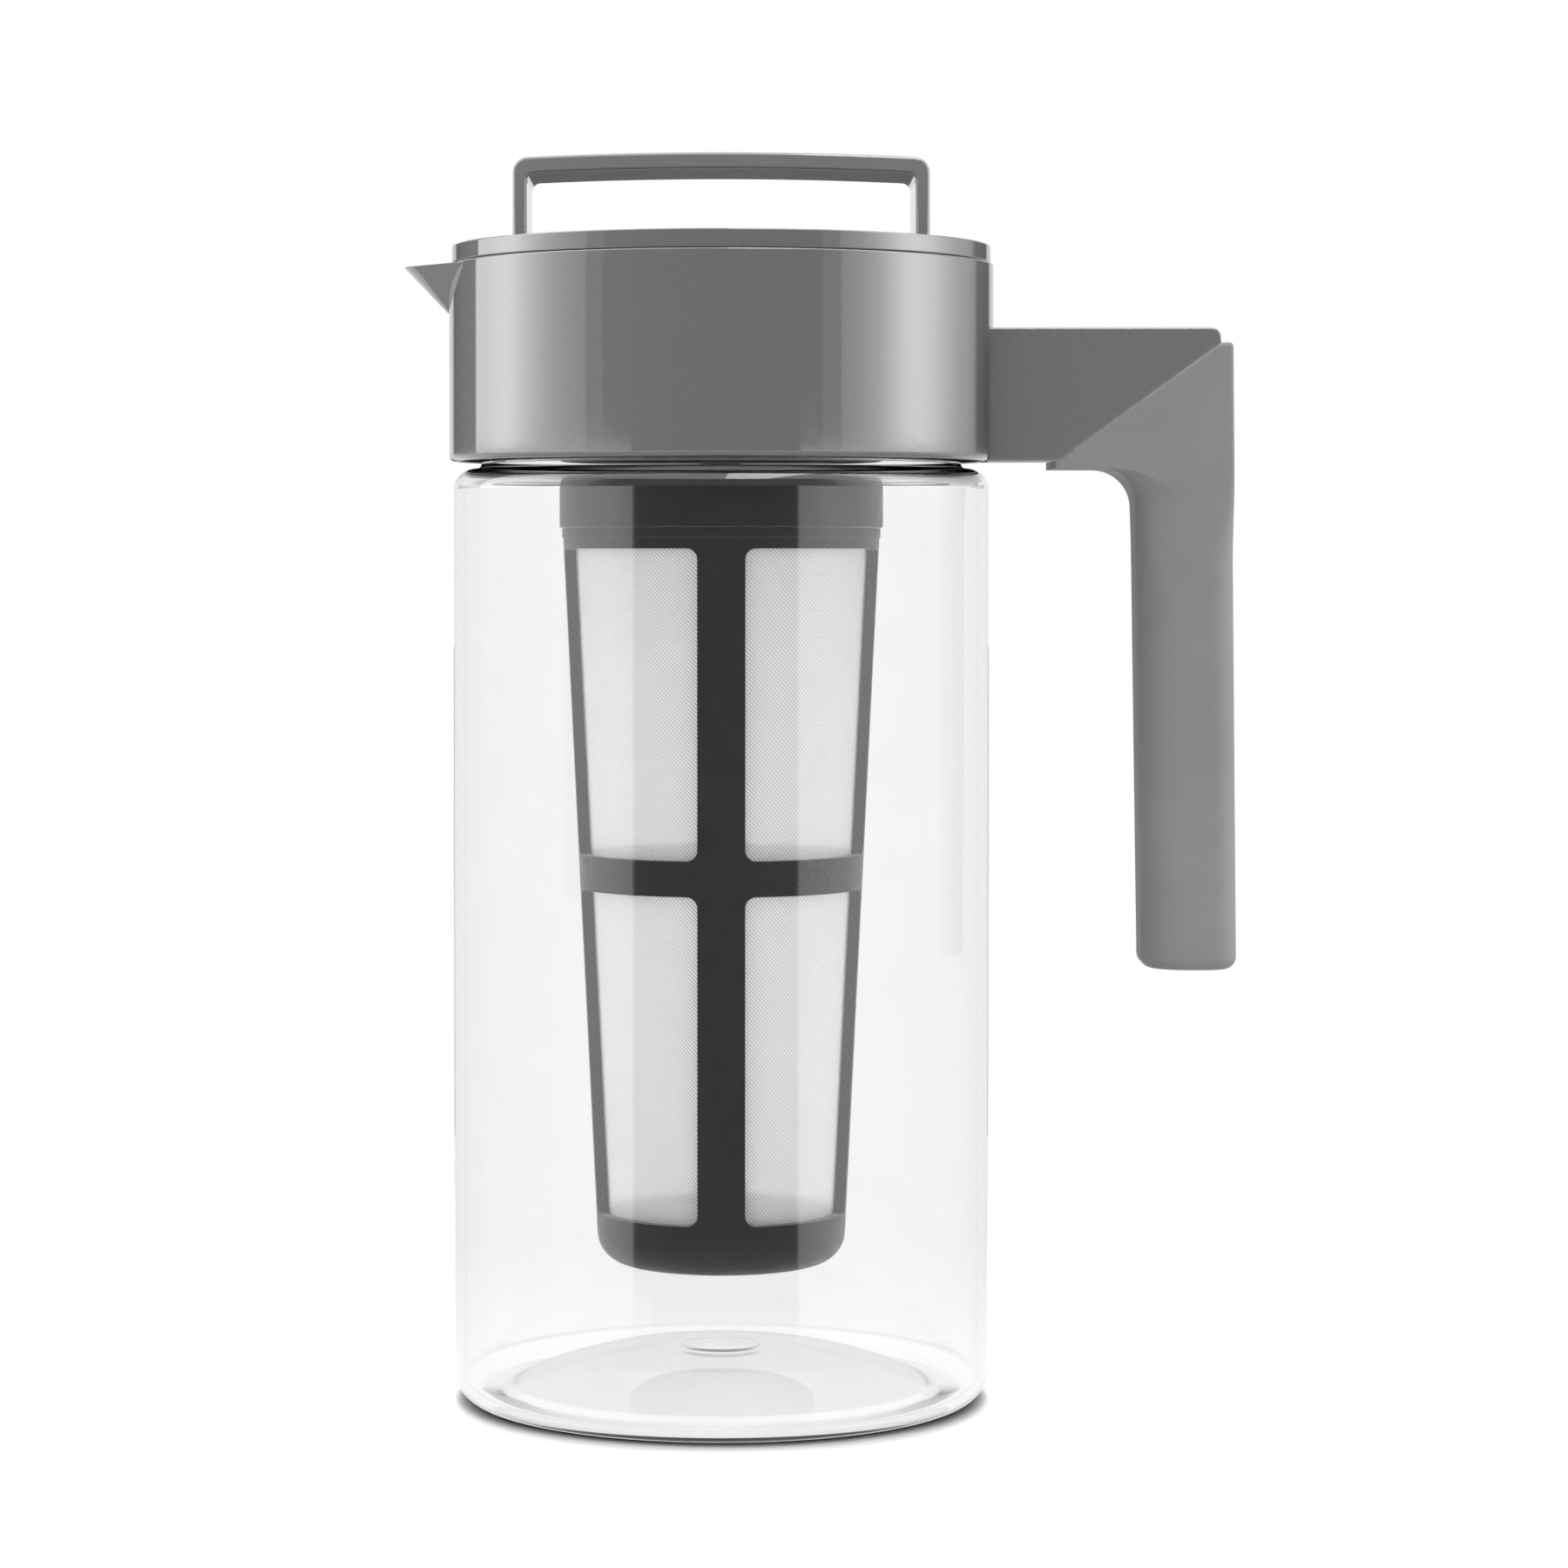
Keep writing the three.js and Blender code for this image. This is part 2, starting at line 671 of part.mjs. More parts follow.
// Infuser's ring: a smooth band below the lid and a threaded neck up inside the plug's socket.
function ringGeometry() {
  const neckTop = ringTopZ + ringNeckHeight;
  const recessRadius = ringBoreRadius + frameWall;
  const recessTopZ = frameTopZ + spigotHeight + seatGap;
  const body = turnedRing([
    point(recessRadius, ringBottomZ),
    point(ringRadius, ringBottomZ),
    point(ringRadius, ringTopZ),
    point(ringNeckRadius, ringTopZ),
    point(ringNeckRadius, neckTop),
    point(ringBoreRadius, neckTop),
    point(ringBoreRadius, recessTopZ),
    point(recessRadius, recessTopZ),
  ]);
  const crest = socketRadius - threadClearance;
  return skin(solid(body).add(threadLugs(ringNeckRadius, crest, ringTopZ + neckThreadHeight)));
}

// Outer radius of the tapered basket at a height.
function frameRadiusAt(z) {
  const heelZ = frameBottomZ + frameHeelRadius;
  const shoulder = frameTopZ - frameFlangeHeight;
  const share = (z - heelZ) / (shoulder - heelZ);
  return THREE.MathUtils.lerp(frameBottomRadius, frameTopRadius, share);
}

// One window's cutter in the quadrant between two ribs, rounded at its corners as seen along x and along y.
function windowCutter(bottomZ, topZ, quarterTurns) {
  const near = frameRibWidth / 2;
  const far = ringRadius + cutOverrun;
  const round = windowCornerRadius;
  const outline = [
    point(far, bottomZ),
    point(far, topZ),
    ...arc(near + round, topZ - round, round, 90, 180, 4),
    ...arc(near + round, bottomZ + round, round, 180, 270, 4),
  ];
  const along = slab(outline, far).translate(0, far, 0);
  const across = slab(outline, far).rotateZ(Math.PI / 2).translate(far, 0, 0);
  const cutter = solid(along).intersect(solid(across));
  return cutter.rotate([0, 0, 90 * quarterTurns]);
}

// Basket frame: a tapered cup with ribs and rings round eight windows, and a spigot up into the ring.
function frameGeometry() {
  const heelZ = frameBottomZ + frameHeelRadius;
  const shoulder = frameTopZ - frameFlangeHeight;
  const ledgeZ = cupTopZ - cupLedgeDrop;
  const ledgeRadius = frameRadiusAt(ledgeZ) - frameWall;
  const meshLedgeZ = meshTopZ + seatGap;
  const spigotRadius = ringBoreRadius + frameWall - seatGap;
  const heelCentre = frameBottomRadius - frameHeelRadius;
  const innerHeel = frameHeelRadius - frameWall - cupLedgeWidth;
  let frame = solid(
    turned([
      point(0, frameBottomZ),
      ...arc(heelCentre, heelZ, frameHeelRadius, -90, 0),
      point(frameTopRadius, shoulder),
      point(frameFlangeRadius, shoulder),
      point(frameFlangeRadius, frameTopZ),
      point(spigotRadius, frameTopZ),
      point(spigotRadius, frameTopZ + spigotHeight),
      point(ringBoreRadius, frameTopZ + spigotHeight),
      point(ringBoreRadius, meshLedgeZ),
      point(frameRadiusAt(meshLedgeZ) - frameWall, meshLedgeZ),
      point(ledgeRadius, ledgeZ),
      point(ledgeRadius - cupLedgeWidth, ledgeZ),
      ...arc(heelCentre, frameBottomZ + frameWall + innerHeel, innerHeel, 0, -90, 3),
      point(0, frameBottomZ + frameWall),
    ]),
  );
  for (let turn = 0; turn < 4; turn++) {
    frame = frame.subtract(windowCutter(cupTopZ, midRingBottomZ, turn));
    frame = frame.subtract(windowCutter(midRingTopZ, windowTopZ, turn));
  }
  return skin(frame);
}

// Mesh: a thin tapered sleeve that lines the basket from the cup's ledge up to the spigot's.
function sleeveGeometry() {
  const outerAt = (z) => frameRadiusAt(z) - frameWall - seatGap;
  return turnedRing([
    point(outerAt(meshBottomZ) - meshThickness, meshBottomZ),
    point(outerAt(meshBottomZ), meshBottomZ),
    point(outerAt(meshTopZ), meshTopZ),
    point(outerAt(meshTopZ) - meshThickness, meshTopZ),
  ]);
}

// Finishes
const clearPlastic = { color: 0xf2f5f6, roughness: 0.04, metalness: 0, transparent: true, opacity: 0.25 };
const greyPlastic = { color: 0x6f6f6f, roughness: 0.18, metalness: 0 };
const softGrip = { color: 0x858585, roughness: 0.62, metalness: 0 };
const darkPlastic = { color: 0x323232, roughness: 0.38, metalness: 0 };
const fineMesh = { color: 0xdcdcdc, roughness: 0.7, metalness: 0 };
const silicone = { color: 0xc9c9c6, roughness: 0.55, metalness: 0 };

const shapes = new THREE.Group();
shapes.position.x = -(gripBottomReach - spoutReach) / 2;

function place(name, geometry, finish) {
  const mesh = new THREE.Mesh(geometry, new THREE.MeshStandardMaterial(finish));
  mesh.name = name;
  shapes.add(mesh);
}

place("jar_base", jarBaseGeometry(), clearPlastic);
place("jar_side", jarSideGeometry(), clearPlastic);
place("jar_neck", jarNeckGeometry(), clearPlastic);
place("collar", collarGeometry(), greyPlastic);
place("neck_ring", neckRingGeometry(), greyPlastic);
place(
  "neck_gasket",
  washerGeometry(
    neckBoreRadius + seatGap,
    neckRadius - seatGap,
    neckTopZ + seatGap,
    neckTopZ + seatGap + gasketThickness,
  ),
  silicone,
);
place("handle_core", skin(coreBody(0)), greyPlastic);
place("handle_grip", gripGeometry(), softGrip);
place("lid_cap", capGeometry(), greyPlastic);
place("lid_handle", bailGeometry(), greyPlastic);
place("lid_plug", plugGeometry(), greyPlastic);
place(
  "lid_seal",
  washerGeometry(barrelRadius + seatGap, drumRadius - seatGap, webTopZ + seatGap, drumBottomZ - seatGap),
  silicone,
);
place("infuser_ring", ringGeometry(), darkPlastic);
place("infuser_frame", frameGeometry(), darkPlastic);
place("infuser_mesh", sleeveGeometry(), fineMesh);

const coffeeMaker = new THREE.Group();
coffeeMaker.add(shapes);

export default coffeeMaker;
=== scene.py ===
import math

import bmesh
import bpy
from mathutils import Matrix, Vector


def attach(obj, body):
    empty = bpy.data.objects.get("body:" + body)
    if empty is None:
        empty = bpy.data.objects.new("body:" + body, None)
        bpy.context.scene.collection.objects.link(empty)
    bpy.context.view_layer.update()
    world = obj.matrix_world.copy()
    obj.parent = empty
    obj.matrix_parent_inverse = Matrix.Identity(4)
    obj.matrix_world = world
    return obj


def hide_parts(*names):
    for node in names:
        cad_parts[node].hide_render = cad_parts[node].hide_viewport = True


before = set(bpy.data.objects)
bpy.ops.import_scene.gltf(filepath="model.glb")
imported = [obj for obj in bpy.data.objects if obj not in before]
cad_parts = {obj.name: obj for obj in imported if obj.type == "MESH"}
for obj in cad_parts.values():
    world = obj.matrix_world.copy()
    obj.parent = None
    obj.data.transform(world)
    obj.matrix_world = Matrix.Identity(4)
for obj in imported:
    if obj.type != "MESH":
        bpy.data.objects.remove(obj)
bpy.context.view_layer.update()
mm = 0.001
axis_x = -22.45 * mm

# Jar.
# The jar is one clear moulding of copolyester, 2.2 mm thick. Its floor is pushed up in the middle
# and stands on a narrow ring; the shoulder is tight, and the neck carries a bead for the collar.
jar_radius = 60 * mm
jar_wall = 2.2 * mm
jar_floor = 3 * mm
heel_radius = 6.5 * mm
foot_radius = 49 * mm
dome_height = 9 * mm
gate_radius = 8.8 * mm
gate_depth = 0.05 * mm
side_height = 204.2 * mm
shoulder_radius = 4.6 * mm
shoulder_top = side_height + shoulder_radius
neck_radius = 53.8 * mm
neck_top = 238 * mm
neck_fillet = 1.2 * mm
lip_round = 0.8 * mm
bead_depth = 1.1 * mm
bead_top = neck_top - 6.8 * mm
bead_bottom = bead_top - 2.6 * mm
turning_steps = 192
merge_gap = 2e-6


def corner(middle_r, middle_z, radius, start, end, steps=8):
    """Points of a round corner in a half section, from one angle to another in degrees."""
    points = []
    for step in range(steps + 1):
        angle = math.radians(start + (end - start) * step / steps)
        points.append((middle_r + radius * math.cos(angle), middle_z + radius * math.sin(angle)))
    return points


def select_vertices(piece, wanted):
    """In edit mode, selects the vertices whose place the test wants."""
    bpy.ops.mesh.select_all(action="DESELECT")
    shape = bmesh.from_edit_mesh(piece.data)
    for vertex in shape.verts:
        vertex.select = wanted(vertex.co)
    shape.select_flush_mode()
    bmesh.update_edit_mesh(piece.data)


def draw_chain(name, points):
    """Leaves a new piece in edit mode: a single point, drawn out into a chain of edges."""
    bpy.ops.object.select_all(action="DESELECT")
    bpy.ops.mesh.primitive_plane_add(size=mm)
    piece = bpy.context.object
    piece.name = name
    bpy.ops.object.mode_set(mode="EDIT")
    bpy.ops.mesh.select_all(action="SELECT")
    bpy.ops.mesh.merge(type="CENTER")
    bpy.ops.transform.translate(value=points[0])
    for near, far in zip(points, points[1:]):
        step = Vector(far) - Vector(near)
        if step.length > 1e-9:
            bpy.ops.mesh.extrude_vertices_move(TRANSFORM_OT_translate={"value": step})
    return piece


def shade_skin(piece):
    """Shades a piece smoothly round its small rounds and keeps its broad faces true."""
    bpy.ops.object.shade_smooth_by_angle(angle=math.radians(32))
    bpy.ops.object.modifier_add(type="WEIGHTED_NORMAL")
    piece.modifiers[-1].keep_sharp = True
    bpy.ops.object.modifier_apply(modifier=piece.modifiers[-1].name)


def close_skin():
    """In edit mode, closes seams and poles, points the faces outwards and shades the piece."""
    bpy.ops.mesh.select_all(action="SELECT")
    bpy.ops.mesh.remove_doubles(threshold=merge_gap)
    bpy.ops.mesh.normals_make_consistent(inside=False)
    bpy.ops.object.mode_set(mode="OBJECT")
    shade_skin(bpy.context.object)


def turn_piece(name, section, steps=turning_steps):
    """Turns a half section of radius and height about the jar's axis."""
    piece = draw_chain(name, [(axis_x + radius, 0, height) for radius, height in section])
    bpy.ops.mesh.select_all(action="SELECT")
    bpy.ops.mesh.spin(steps=steps, angle=2 * math.pi, center=(axis_x, 0, 0), axis=(0, 0, 1))
    close_skin()
    return piece


def dome(lift, steps=14):
    """Half section of the pushed-up floor, from the gate disc out to the ring it stands on."""
    points = [(0, dome_height + lift), (gate_radius - gate_depth, dome_height + lift)]
    for step in range(steps + 1):
        share = step / steps
        radius = gate_radius + (foot_radius - gate_radius) * share
        points.append((radius, (dome_height - gate_depth) * (1 - share * share) + lift))
    return points


heel_middle = jar_radius - heel_radius
shoulder_middle = jar_radius - shoulder_radius
bore_radius = neck_radius - jar_wall
bead_slope = bead_depth / 2
jar_section = (
    dome(0)
    + corner(heel_middle, heel_radius, heel_radius, -90, 0, 14)
    + corner(shoulder_middle, side_height, shoulder_radius, 0, 90, 12)
    + corner(neck_radius + neck_fillet, shoulder_top + neck_fillet, neck_fillet, -90, -180, 6)
    + [(neck_radius, bead_bottom)]
    + corner(neck_radius + bead_depth - bead_slope, bead_bottom + bead_slope, bead_slope, -60, 0, 3)
    + corner(neck_radius + bead_depth - bead_slope, bead_top - bead_slope, bead_slope, 0, 60, 3)
    + [(neck_radius, bead_top)]
    + corner(neck_radius - lip_round, neck_top - lip_round, lip_round, 0, 90, 5)
    + corner(bore_radius + lip_round, neck_top - lip_round, lip_round, 90, 180, 5)
    + [(bore_radius, shoulder_top - jar_wall)]
    + corner(shoulder_middle, side_height, shoulder_radius - jar_wall, 90, 0, 8)
    + corner(heel_middle, heel_radius, heel_radius - jar_wall, 0, -90, 10)
    + dome(jar_floor)[::-1]
)
jar = turn_piece("jar_moulding", jar_section)


def new_finish(name):
    """A new material with its nodes, its links and its main shader."""
    material = bpy.data.materials.new(name)
    material.use_nodes = True
    tree = material.node_tree
    return material, tree.nodes, tree.links, tree.nodes["Principled BSDF"]


def place_on_piece(nodes, links, stretch=(1, 1, 1)):
    """Where a point is on the piece, measured from the jar's axis."""
    place = nodes.new("ShaderNodeTexCoord")
    centre = nodes.new("ShaderNodeMapping")
    centre.inputs["Location"].default_value = (-axis_x * stretch[0], 0, 0)
    centre.inputs["Scale"].default_value = stretch
    links.new(place.outputs["Object"], centre.inputs["Vector"])
    return centre.outputs["Vector"]


def grain(nodes, links, scale, detail, stretch=(1, 1, 1)):
    """A fine cloudy pattern fixed to the piece."""
    noise = nodes.new("ShaderNodeTexNoise")
    noise.inputs["Scale"].default_value = scale
    noise.inputs["Detail"].default_value = detail
    links.new(place_on_piece(nodes, links, stretch), noise.inputs["Vector"])
    return noise.outputs["Fac"]


def colour_between(nodes, links, pattern, dark, light, socket):
    """Colours a socket between two colours as the pattern goes."""
    ramp = nodes.new("ShaderNodeValToRGB")
    ramp.color_ramp.elements[0].position = 0.3
    ramp.color_ramp.elements[0].color = (*dark, 1)
    ramp.color_ramp.elements[1].position = 0.7
    ramp.color_ramp.elements[1].color = (*light, 1)
    links.new(pattern, ramp.inputs["Fac"])
    links.new(ramp.outputs["Color"], socket)


def value_between(nodes, links, pattern, low, high, socket):
    """Sets a socket between two values as the pattern goes."""
    spread = nodes.new("ShaderNodeMapRange")
    spread.inputs["From Min"].default_value = 0.3
    spread.inputs["From Max"].default_value = 0.7
    spread.inputs["To Min"].default_value = low
    spread.inputs["To Max"].default_value = high
    links.new(pattern, spread.inputs["Value"])
    links.new(spread.outputs["Result"], socket)


def rise_and_fall(nodes, links, pattern, depth, strength, shader):
    """Lets the pattern raise the surface by a small depth."""
    bump = nodes.new("ShaderNodeBump")
    bump.inputs["Strength"].default_value = strength
    bump.inputs["Distance"].default_value = depth
    links.new(pattern, bump.inputs["Height"])
    links.new(bump.outputs["Normal"], shader.inputs["Normal"])


clear, nodes, links, shader = new_finish("clear_copolyester")
shader.inputs["Transmission Weight"].default_value = 1
shader.inputs["IOR"].default_value = 1.5
cloud = grain(nodes, links, 60, 2)
clear_dark = (0.935, 0.935, 0.935)
clear_light = (0.955, 0.955, 0.955)
colour_between(nodes, links, cloud, clear_dark, clear_light, shader.inputs["Base Color"])
value_between(nodes, links, cloud, 0, 0.02, shader.inputs["Roughness"])
rise_and_fall(nodes, links, grain(nodes, links, 14, 1, (1, 1, 0.5)), 0.05 * mm, 0.15, shader)
jar.data.materials.append(clear)
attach(jar, "pitcher")
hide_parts("jar_base", "jar_side", "jar_neck")

# Collar with spout and arm.
# The collar is one glossy grey moulding: a band round the neck, a beak of a spout hollowed as a
# channel, and a square arm cut on the slant to meet the grip. The arm is a piece of its own here,
# because it stays out of reflections.
collar_radius = 61 * mm
collar_bore = 58.6 * mm
collar_bottom = 210.5 * mm
collar_top = 254.4 * mm
hem_round = 1.2 * mm
rim_round = 0.4 * mm
edge_round = 0.2 * mm
arm_top = collar_bottom + 29.5 * mm
above_arm = arm_top + 1.5 * mm
collar_section = (
    corner(collar_radius - hem_round, collar_bottom + hem_round, hem_round, -90, 0, 6)
    + [(collar_radius, above_arm)]
    + corner(collar_radius - rim_round, collar_top - rim_round, rim_round, 0, 90, 4)
    + corner(collar_bore + edge_round, collar_top - edge_round, edge_round, 90, 180, 2)
    + [(collar_bore, collar_bottom + edge_round)]
    + corner(collar_bore + edge_round, collar_bottom + edge_round, edge_round, 180, 270, 2)
)
collar = turn_piece("collar_moulding", collar_section + collar_section[:1])

spout_reach = 10 * mm
spout_half_width = 23 * mm
spout_depth = 10.4 * mm
spout_rim = collar_top - 0.6 * mm
nose_round = 13 * mm
spout_wall = 2.3 * mm
spout_root = axis_x - math.sqrt(collar_radius**2 - spout_half_width**2)
spout_tip_x = axis_x - collar_radius + 0.3 * spout_reach
spout_draw = 1.3
spout_lift = 0.1 * mm
channel_lift = 3 * mm


def thicken_outline(way):
    """In edit mode, closes a drawn outline, fills it and draws it out into a solid."""
    bpy.ops.mesh.select_all(action="SELECT")
    bpy.ops.mesh.remove_doubles(threshold=merge_gap)
    bpy.ops.mesh.edge_face_add()
    bpy.ops.mesh.extrude_region_move(TRANSFORM_OT_translate={"value": way})


def spout_wedge(name, inset, rim):
    """A beak with a round nose and two flat flanks, that all run down to one point in the collar."""
    half_width = spout_half_width - inset
    nose = nose_round - inset
    centre = axis_x - collar_radius - spout_reach + nose_round
    away = math.hypot(spout_root - centre, half_width)
    turn = math.degrees(math.atan2(half_width, spout_root - centre) + math.acos(nose / away))
    outline = [
        (spout_root, half_width),
        *corner(centre, 0, nose, turn, 360 - turn, 16),
        (spout_root, -half_width),
        (spout_root, half_width),
    ]
    piece = draw_chain(name, [(x, y, rim) for x, y in outline])
    thicken_outline((0, 0, spout_rim - rim))
    deep = spout_draw * (spout_depth - inset)
    low_point = (spout_tip_x, 0, spout_rim - deep)
    bpy.ops.mesh.extrude_region_move(TRANSFORM_OT_translate={"value": (0, 0, -deep)})
    bpy.ops.transform.resize(value=(0.001, 0.001, 1), center_override=low_point)
    close_skin()
    return piece


def combine(piece, other, how):
    """Joins another solid to a piece, or cuts it away, and clears the other one off."""
    bpy.ops.object.select_all(action="DESELECT")
    bpy.context.view_layer.objects.active = piece
    piece.select_set(True)
    bpy.ops.object.modifier_add(type="BOOLEAN")
    modifier = piece.modifiers[-1]
    modifier.operation = how
    modifier.solver = "EXACT"
    modifier.object = other
    bpy.ops.object.modifier_apply(modifier=modifier.name)
    bpy.data.objects.remove(other)


combine(collar, spout_wedge("spout", 0, spout_rim + spout_lift), "UNION")

arm_reach = 49.8 * mm
arm_half_width = 13 * mm
arm_round = 2.2 * mm
arm_edge = 0.5 * mm
arm_underside = 0.275 * arm_reach
joint_start = axis_x + collar_radius + arm_underside
joint_end = axis_x + collar_radius + arm_reach
joint_rise = 26.04 * mm
arm_root = axis_x + collar_bore + 0.3 * mm
arm_outline = [
    (arm_root, collar_bottom),
    (joint_start, collar_bottom),
    (joint_end, collar_bottom + joint_rise),
    *corner(joint_end - arm_round, arm_top - arm_round, arm_round, 0, 90, 8),
    (arm_root, arm_top),
    (arm_root, collar_bottom),
]
arm = draw_chain("arm_moulding", [(x, -arm_half_width, z) for x, z in arm_outline])
thicken_outline((0, 2 * arm_half_width, 0))


def select_edges(piece, wanted):
    """In edit mode, selects the edges that the test wants."""
    bpy.ops.mesh.select_all(action="DESELECT")
    bpy.ops.mesh.select_mode(type="EDGE")
    shape = bmesh.from_edit_mesh(piece.data)
    for edge in shape.edges:
        edge.select = wanted(edge)
    bmesh.update_edit_mesh(piece.data)


def round_edges(piece, size, wanted):
    """In edit mode, rounds the edges that the test wants and closes the piece."""
    bpy.ops.mesh.select_all(action="SELECT")
    bpy.ops.mesh.normals_make_consistent(inside=False)
    select_edges(piece, wanted)
    bpy.ops.mesh.bevel(offset=size, segments=4, profile=0.5)
    bpy.ops.mesh.select_mode(type="VERT")
    close_skin()


def on_one_flank(edge):
    """Whether an edge of a flat bar lies on its front or its back."""
    return abs(edge.verts[0].co.y - edge.verts[1].co.y) < mm


def off_root(edge):
    """Whether an edge reaches out of the collar."""
    return any(vertex.co.x >= arm_root + mm for vertex in edge.verts)


round_edges(arm, arm_edge, lambda edge: on_one_flank(edge) and off_root(edge))
combine(collar, spout_wedge("channel", spout_wall, spout_rim + channel_lift), "DIFFERENCE")


def leaves_round(edge):
    """Whether an edge climbs and parts the collar's round outside from something else."""
    climbs = abs(edge.verts[0].co.z - edge.verts[1].co.z) > 0.01 * mm
    kinds = set()
    for face in edge.link_faces:
        away = [abs(math.hypot(spot.co.x - axis_x, spot.co.y) - collar_radius) for spot in face.verts]
        kinds.add(max(away) < 0.02 * mm)
    return climbs and len(kinds) == 2


# A crease round the spout keeps the shading of the collar's outside true.
bpy.ops.object.select_all(action="DESELECT")
bpy.context.view_layer.objects.active = collar
collar.select_set(True)
bpy.ops.object.mode_set(mode="EDIT")
select_edges(collar, leaves_round)
bpy.ops.mesh.mark_sharp()
bpy.ops.mesh.select_mode(type="VERT")
bpy.ops.object.mode_set(mode="OBJECT")
shade_skin(collar)

gloss_dark = (0.154, 0.154, 0.155)
gloss_light = (0.162, 0.162, 0.163)


def gloss_grey(name, lift=1):
    """Glossy moulded grey plastic, with the faint ripple and clouding of a moulded skin. A lift above one
    paints the grey lighter, as painted light.
    """
    material, nodes, links, shader = new_finish(name)
    shader.inputs["IOR"].default_value = 1.6
    dark = [level * lift for level in gloss_dark]
    light = [level * lift for level in gloss_light]
    colour_between(nodes, links, grain(nodes, links, 900, 3), dark, light, shader.inputs["Base Color"])
    value_between(nodes, links, grain(nodes, links, 120, 2), 0.03, 0.06, shader.inputs["Roughness"])
    rise_and_fall(nodes, links, grain(nodes, links, 500, 2), 0.02 * mm, 0.1, shader)
    return material


def reckon(how, first, second=None):
    """A sum in the finish: each side is a value or another node's answer."""
    sum_node = nodes.new("ShaderNodeMath")
    sum_node.operation = how
    for socket, side in zip(sum_node.inputs, (first, second)):
        if isinstance(side, (int, float)):
            socket.default_value = side
        elif side is not None:
            links.new(side, socket)
    return sum_node.outputs["Value"]


# Beside the arm, below its top, the collar's shine is turned off in a thin strip. This is painted shade,
# standing in for the arm hiding bright reflections there.
collar.data.materials.clear()
collar_grey = gloss_grey("collar_grey")
nodes = collar_grey.node_tree.nodes
links = collar_grey.node_tree.links
spot = nodes.new("ShaderNodeSeparateXYZ")
links.new(place_on_piece(nodes, links), spot.inputs["Vector"])
nook_width = 0.8 * mm
nook_side = math.sqrt(collar_radius**2 - arm_half_width**2) - nook_width
plain_shine = 0.5
beside_arm = reckon("GREATER_THAN", spot.outputs["X"], nook_side)
under_top = reckon("LESS_THAN", spot.outputs["Z"], arm_top)
painted_shade_beside_arm = reckon("MULTIPLY", beside_arm, under_top)
shine = reckon("SUBTRACT", plain_shine, reckon("MULTIPLY", painted_shade_beside_arm, plain_shine))
links.new(shine, nodes["Principled BSDF"].inputs["Specular IOR Level"])
collar.data.materials.append(collar_grey)
# The arm's grey is painted lighter than the collar's. This is painted light for the fill that the collar
# keeps off the arm.
arm_painted_light = 1.08
arm.data.materials.append(gloss_grey("arm_grey", arm_painted_light))
arm.visible_glossy = False
for piece in (collar, arm):
    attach(piece, "pitcher")
    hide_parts("collar")

# Neck ring and gasket.
# A grey ring is welded inside the collar. Its web lies over the neck's rim on a silicone gasket,
# and its skirt snaps under the neck's bead, so the collar can't be pulled off.
web_bottom = 240.2 * mm
web_top = 242.4 * mm
web_radius = 58.3 * mm
skirt_bore = 55.2 * mm
skirt_radius = 56.6 * mm
lip_top = 228.3 * mm
lip_bottom = 226 * mm
lip_bore = 54.1 * mm
lead_in = 4 * edge_round
ring_steps = 144
neck_ring_section = (
    corner(web_radius - edge_round, web_top - edge_round, edge_round, 0, 90, 2)
    + corner(bore_radius + edge_round, web_top - edge_round, edge_round, 90, 180, 2)
    + corner(bore_radius + edge_round, web_bottom + edge_round, edge_round, 180, 270, 2)
    + [(skirt_bore, web_bottom), (skirt_bore, lip_top)]
    + corner(lip_bore + edge_round, lip_top - edge_round, edge_round, 90, 180, 2)
    + [(lip_bore, lip_bottom + lead_in), (lip_bore + lead_in, lip_bottom)]
    + corner(skirt_radius - edge_round, lip_bottom + edge_round, edge_round, -90, 0, 2)
    + [(skirt_radius, web_bottom), (web_radius, web_bottom)]
)
neck_ring = turn_piece("neck_ring_moulding", neck_ring_section + neck_ring_section[:1], ring_steps)
neck_ring.data.materials.append(gloss_grey("neck_ring_grey"))
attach(neck_ring, "pitcher")
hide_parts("neck_ring")


def washer(name, inner, outer, low, high, corner_round):
    """A round flat seal with softly rounded edges."""
    section = (
        corner(outer - corner_round, low + corner_round, corner_round, -90, 0, 4)
        + corner(outer - corner_round, high - corner_round, corner_round, 0, 90, 4)
        + corner(inner + corner_round, high - corner_round, corner_round, 90, 180, 4)
        + corner(inner + corner_round, low + corner_round, corner_round, 180, 270, 4)
    )
    return turn_piece(name, section + section[:1], ring_steps)


def soft_silicone(name):
    """Pale silicone with a satin skin and a faint cloudiness."""
    material, nodes, links, shader = new_finish(name)
    shader.inputs["IOR"].default_value = 1.41
    cloud = grain(nodes, links, 300, 2)
    colour_between(nodes, links, cloud, (0.52, 0.52, 0.51), (0.58, 0.58, 0.57), shader.inputs["Base Color"])
    value_between(nodes, links, cloud, 0.45, 0.6, shader.inputs["Roughness"])
    rise_and_fall(nodes, links, grain(nodes, links, 1500, 2), 0.02 * mm, 0.3, shader)
    return material


seal_play = 0.3 * mm
gasket_bottom = 238.3 * mm
gasket_top = 239.9 * mm
gasket_round = 0.5 * mm
gasket_inner = bore_radius + seal_play
gasket_outer = neck_radius - seal_play
gasket = washer("gasket_washer", gasket_inner, gasket_outer, gasket_bottom, gasket_top, gasket_round)
gasket.data.materials.append(soft_silicone("gasket_silicone"))
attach(gasket, "pitcher")
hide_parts("neck_gasket")

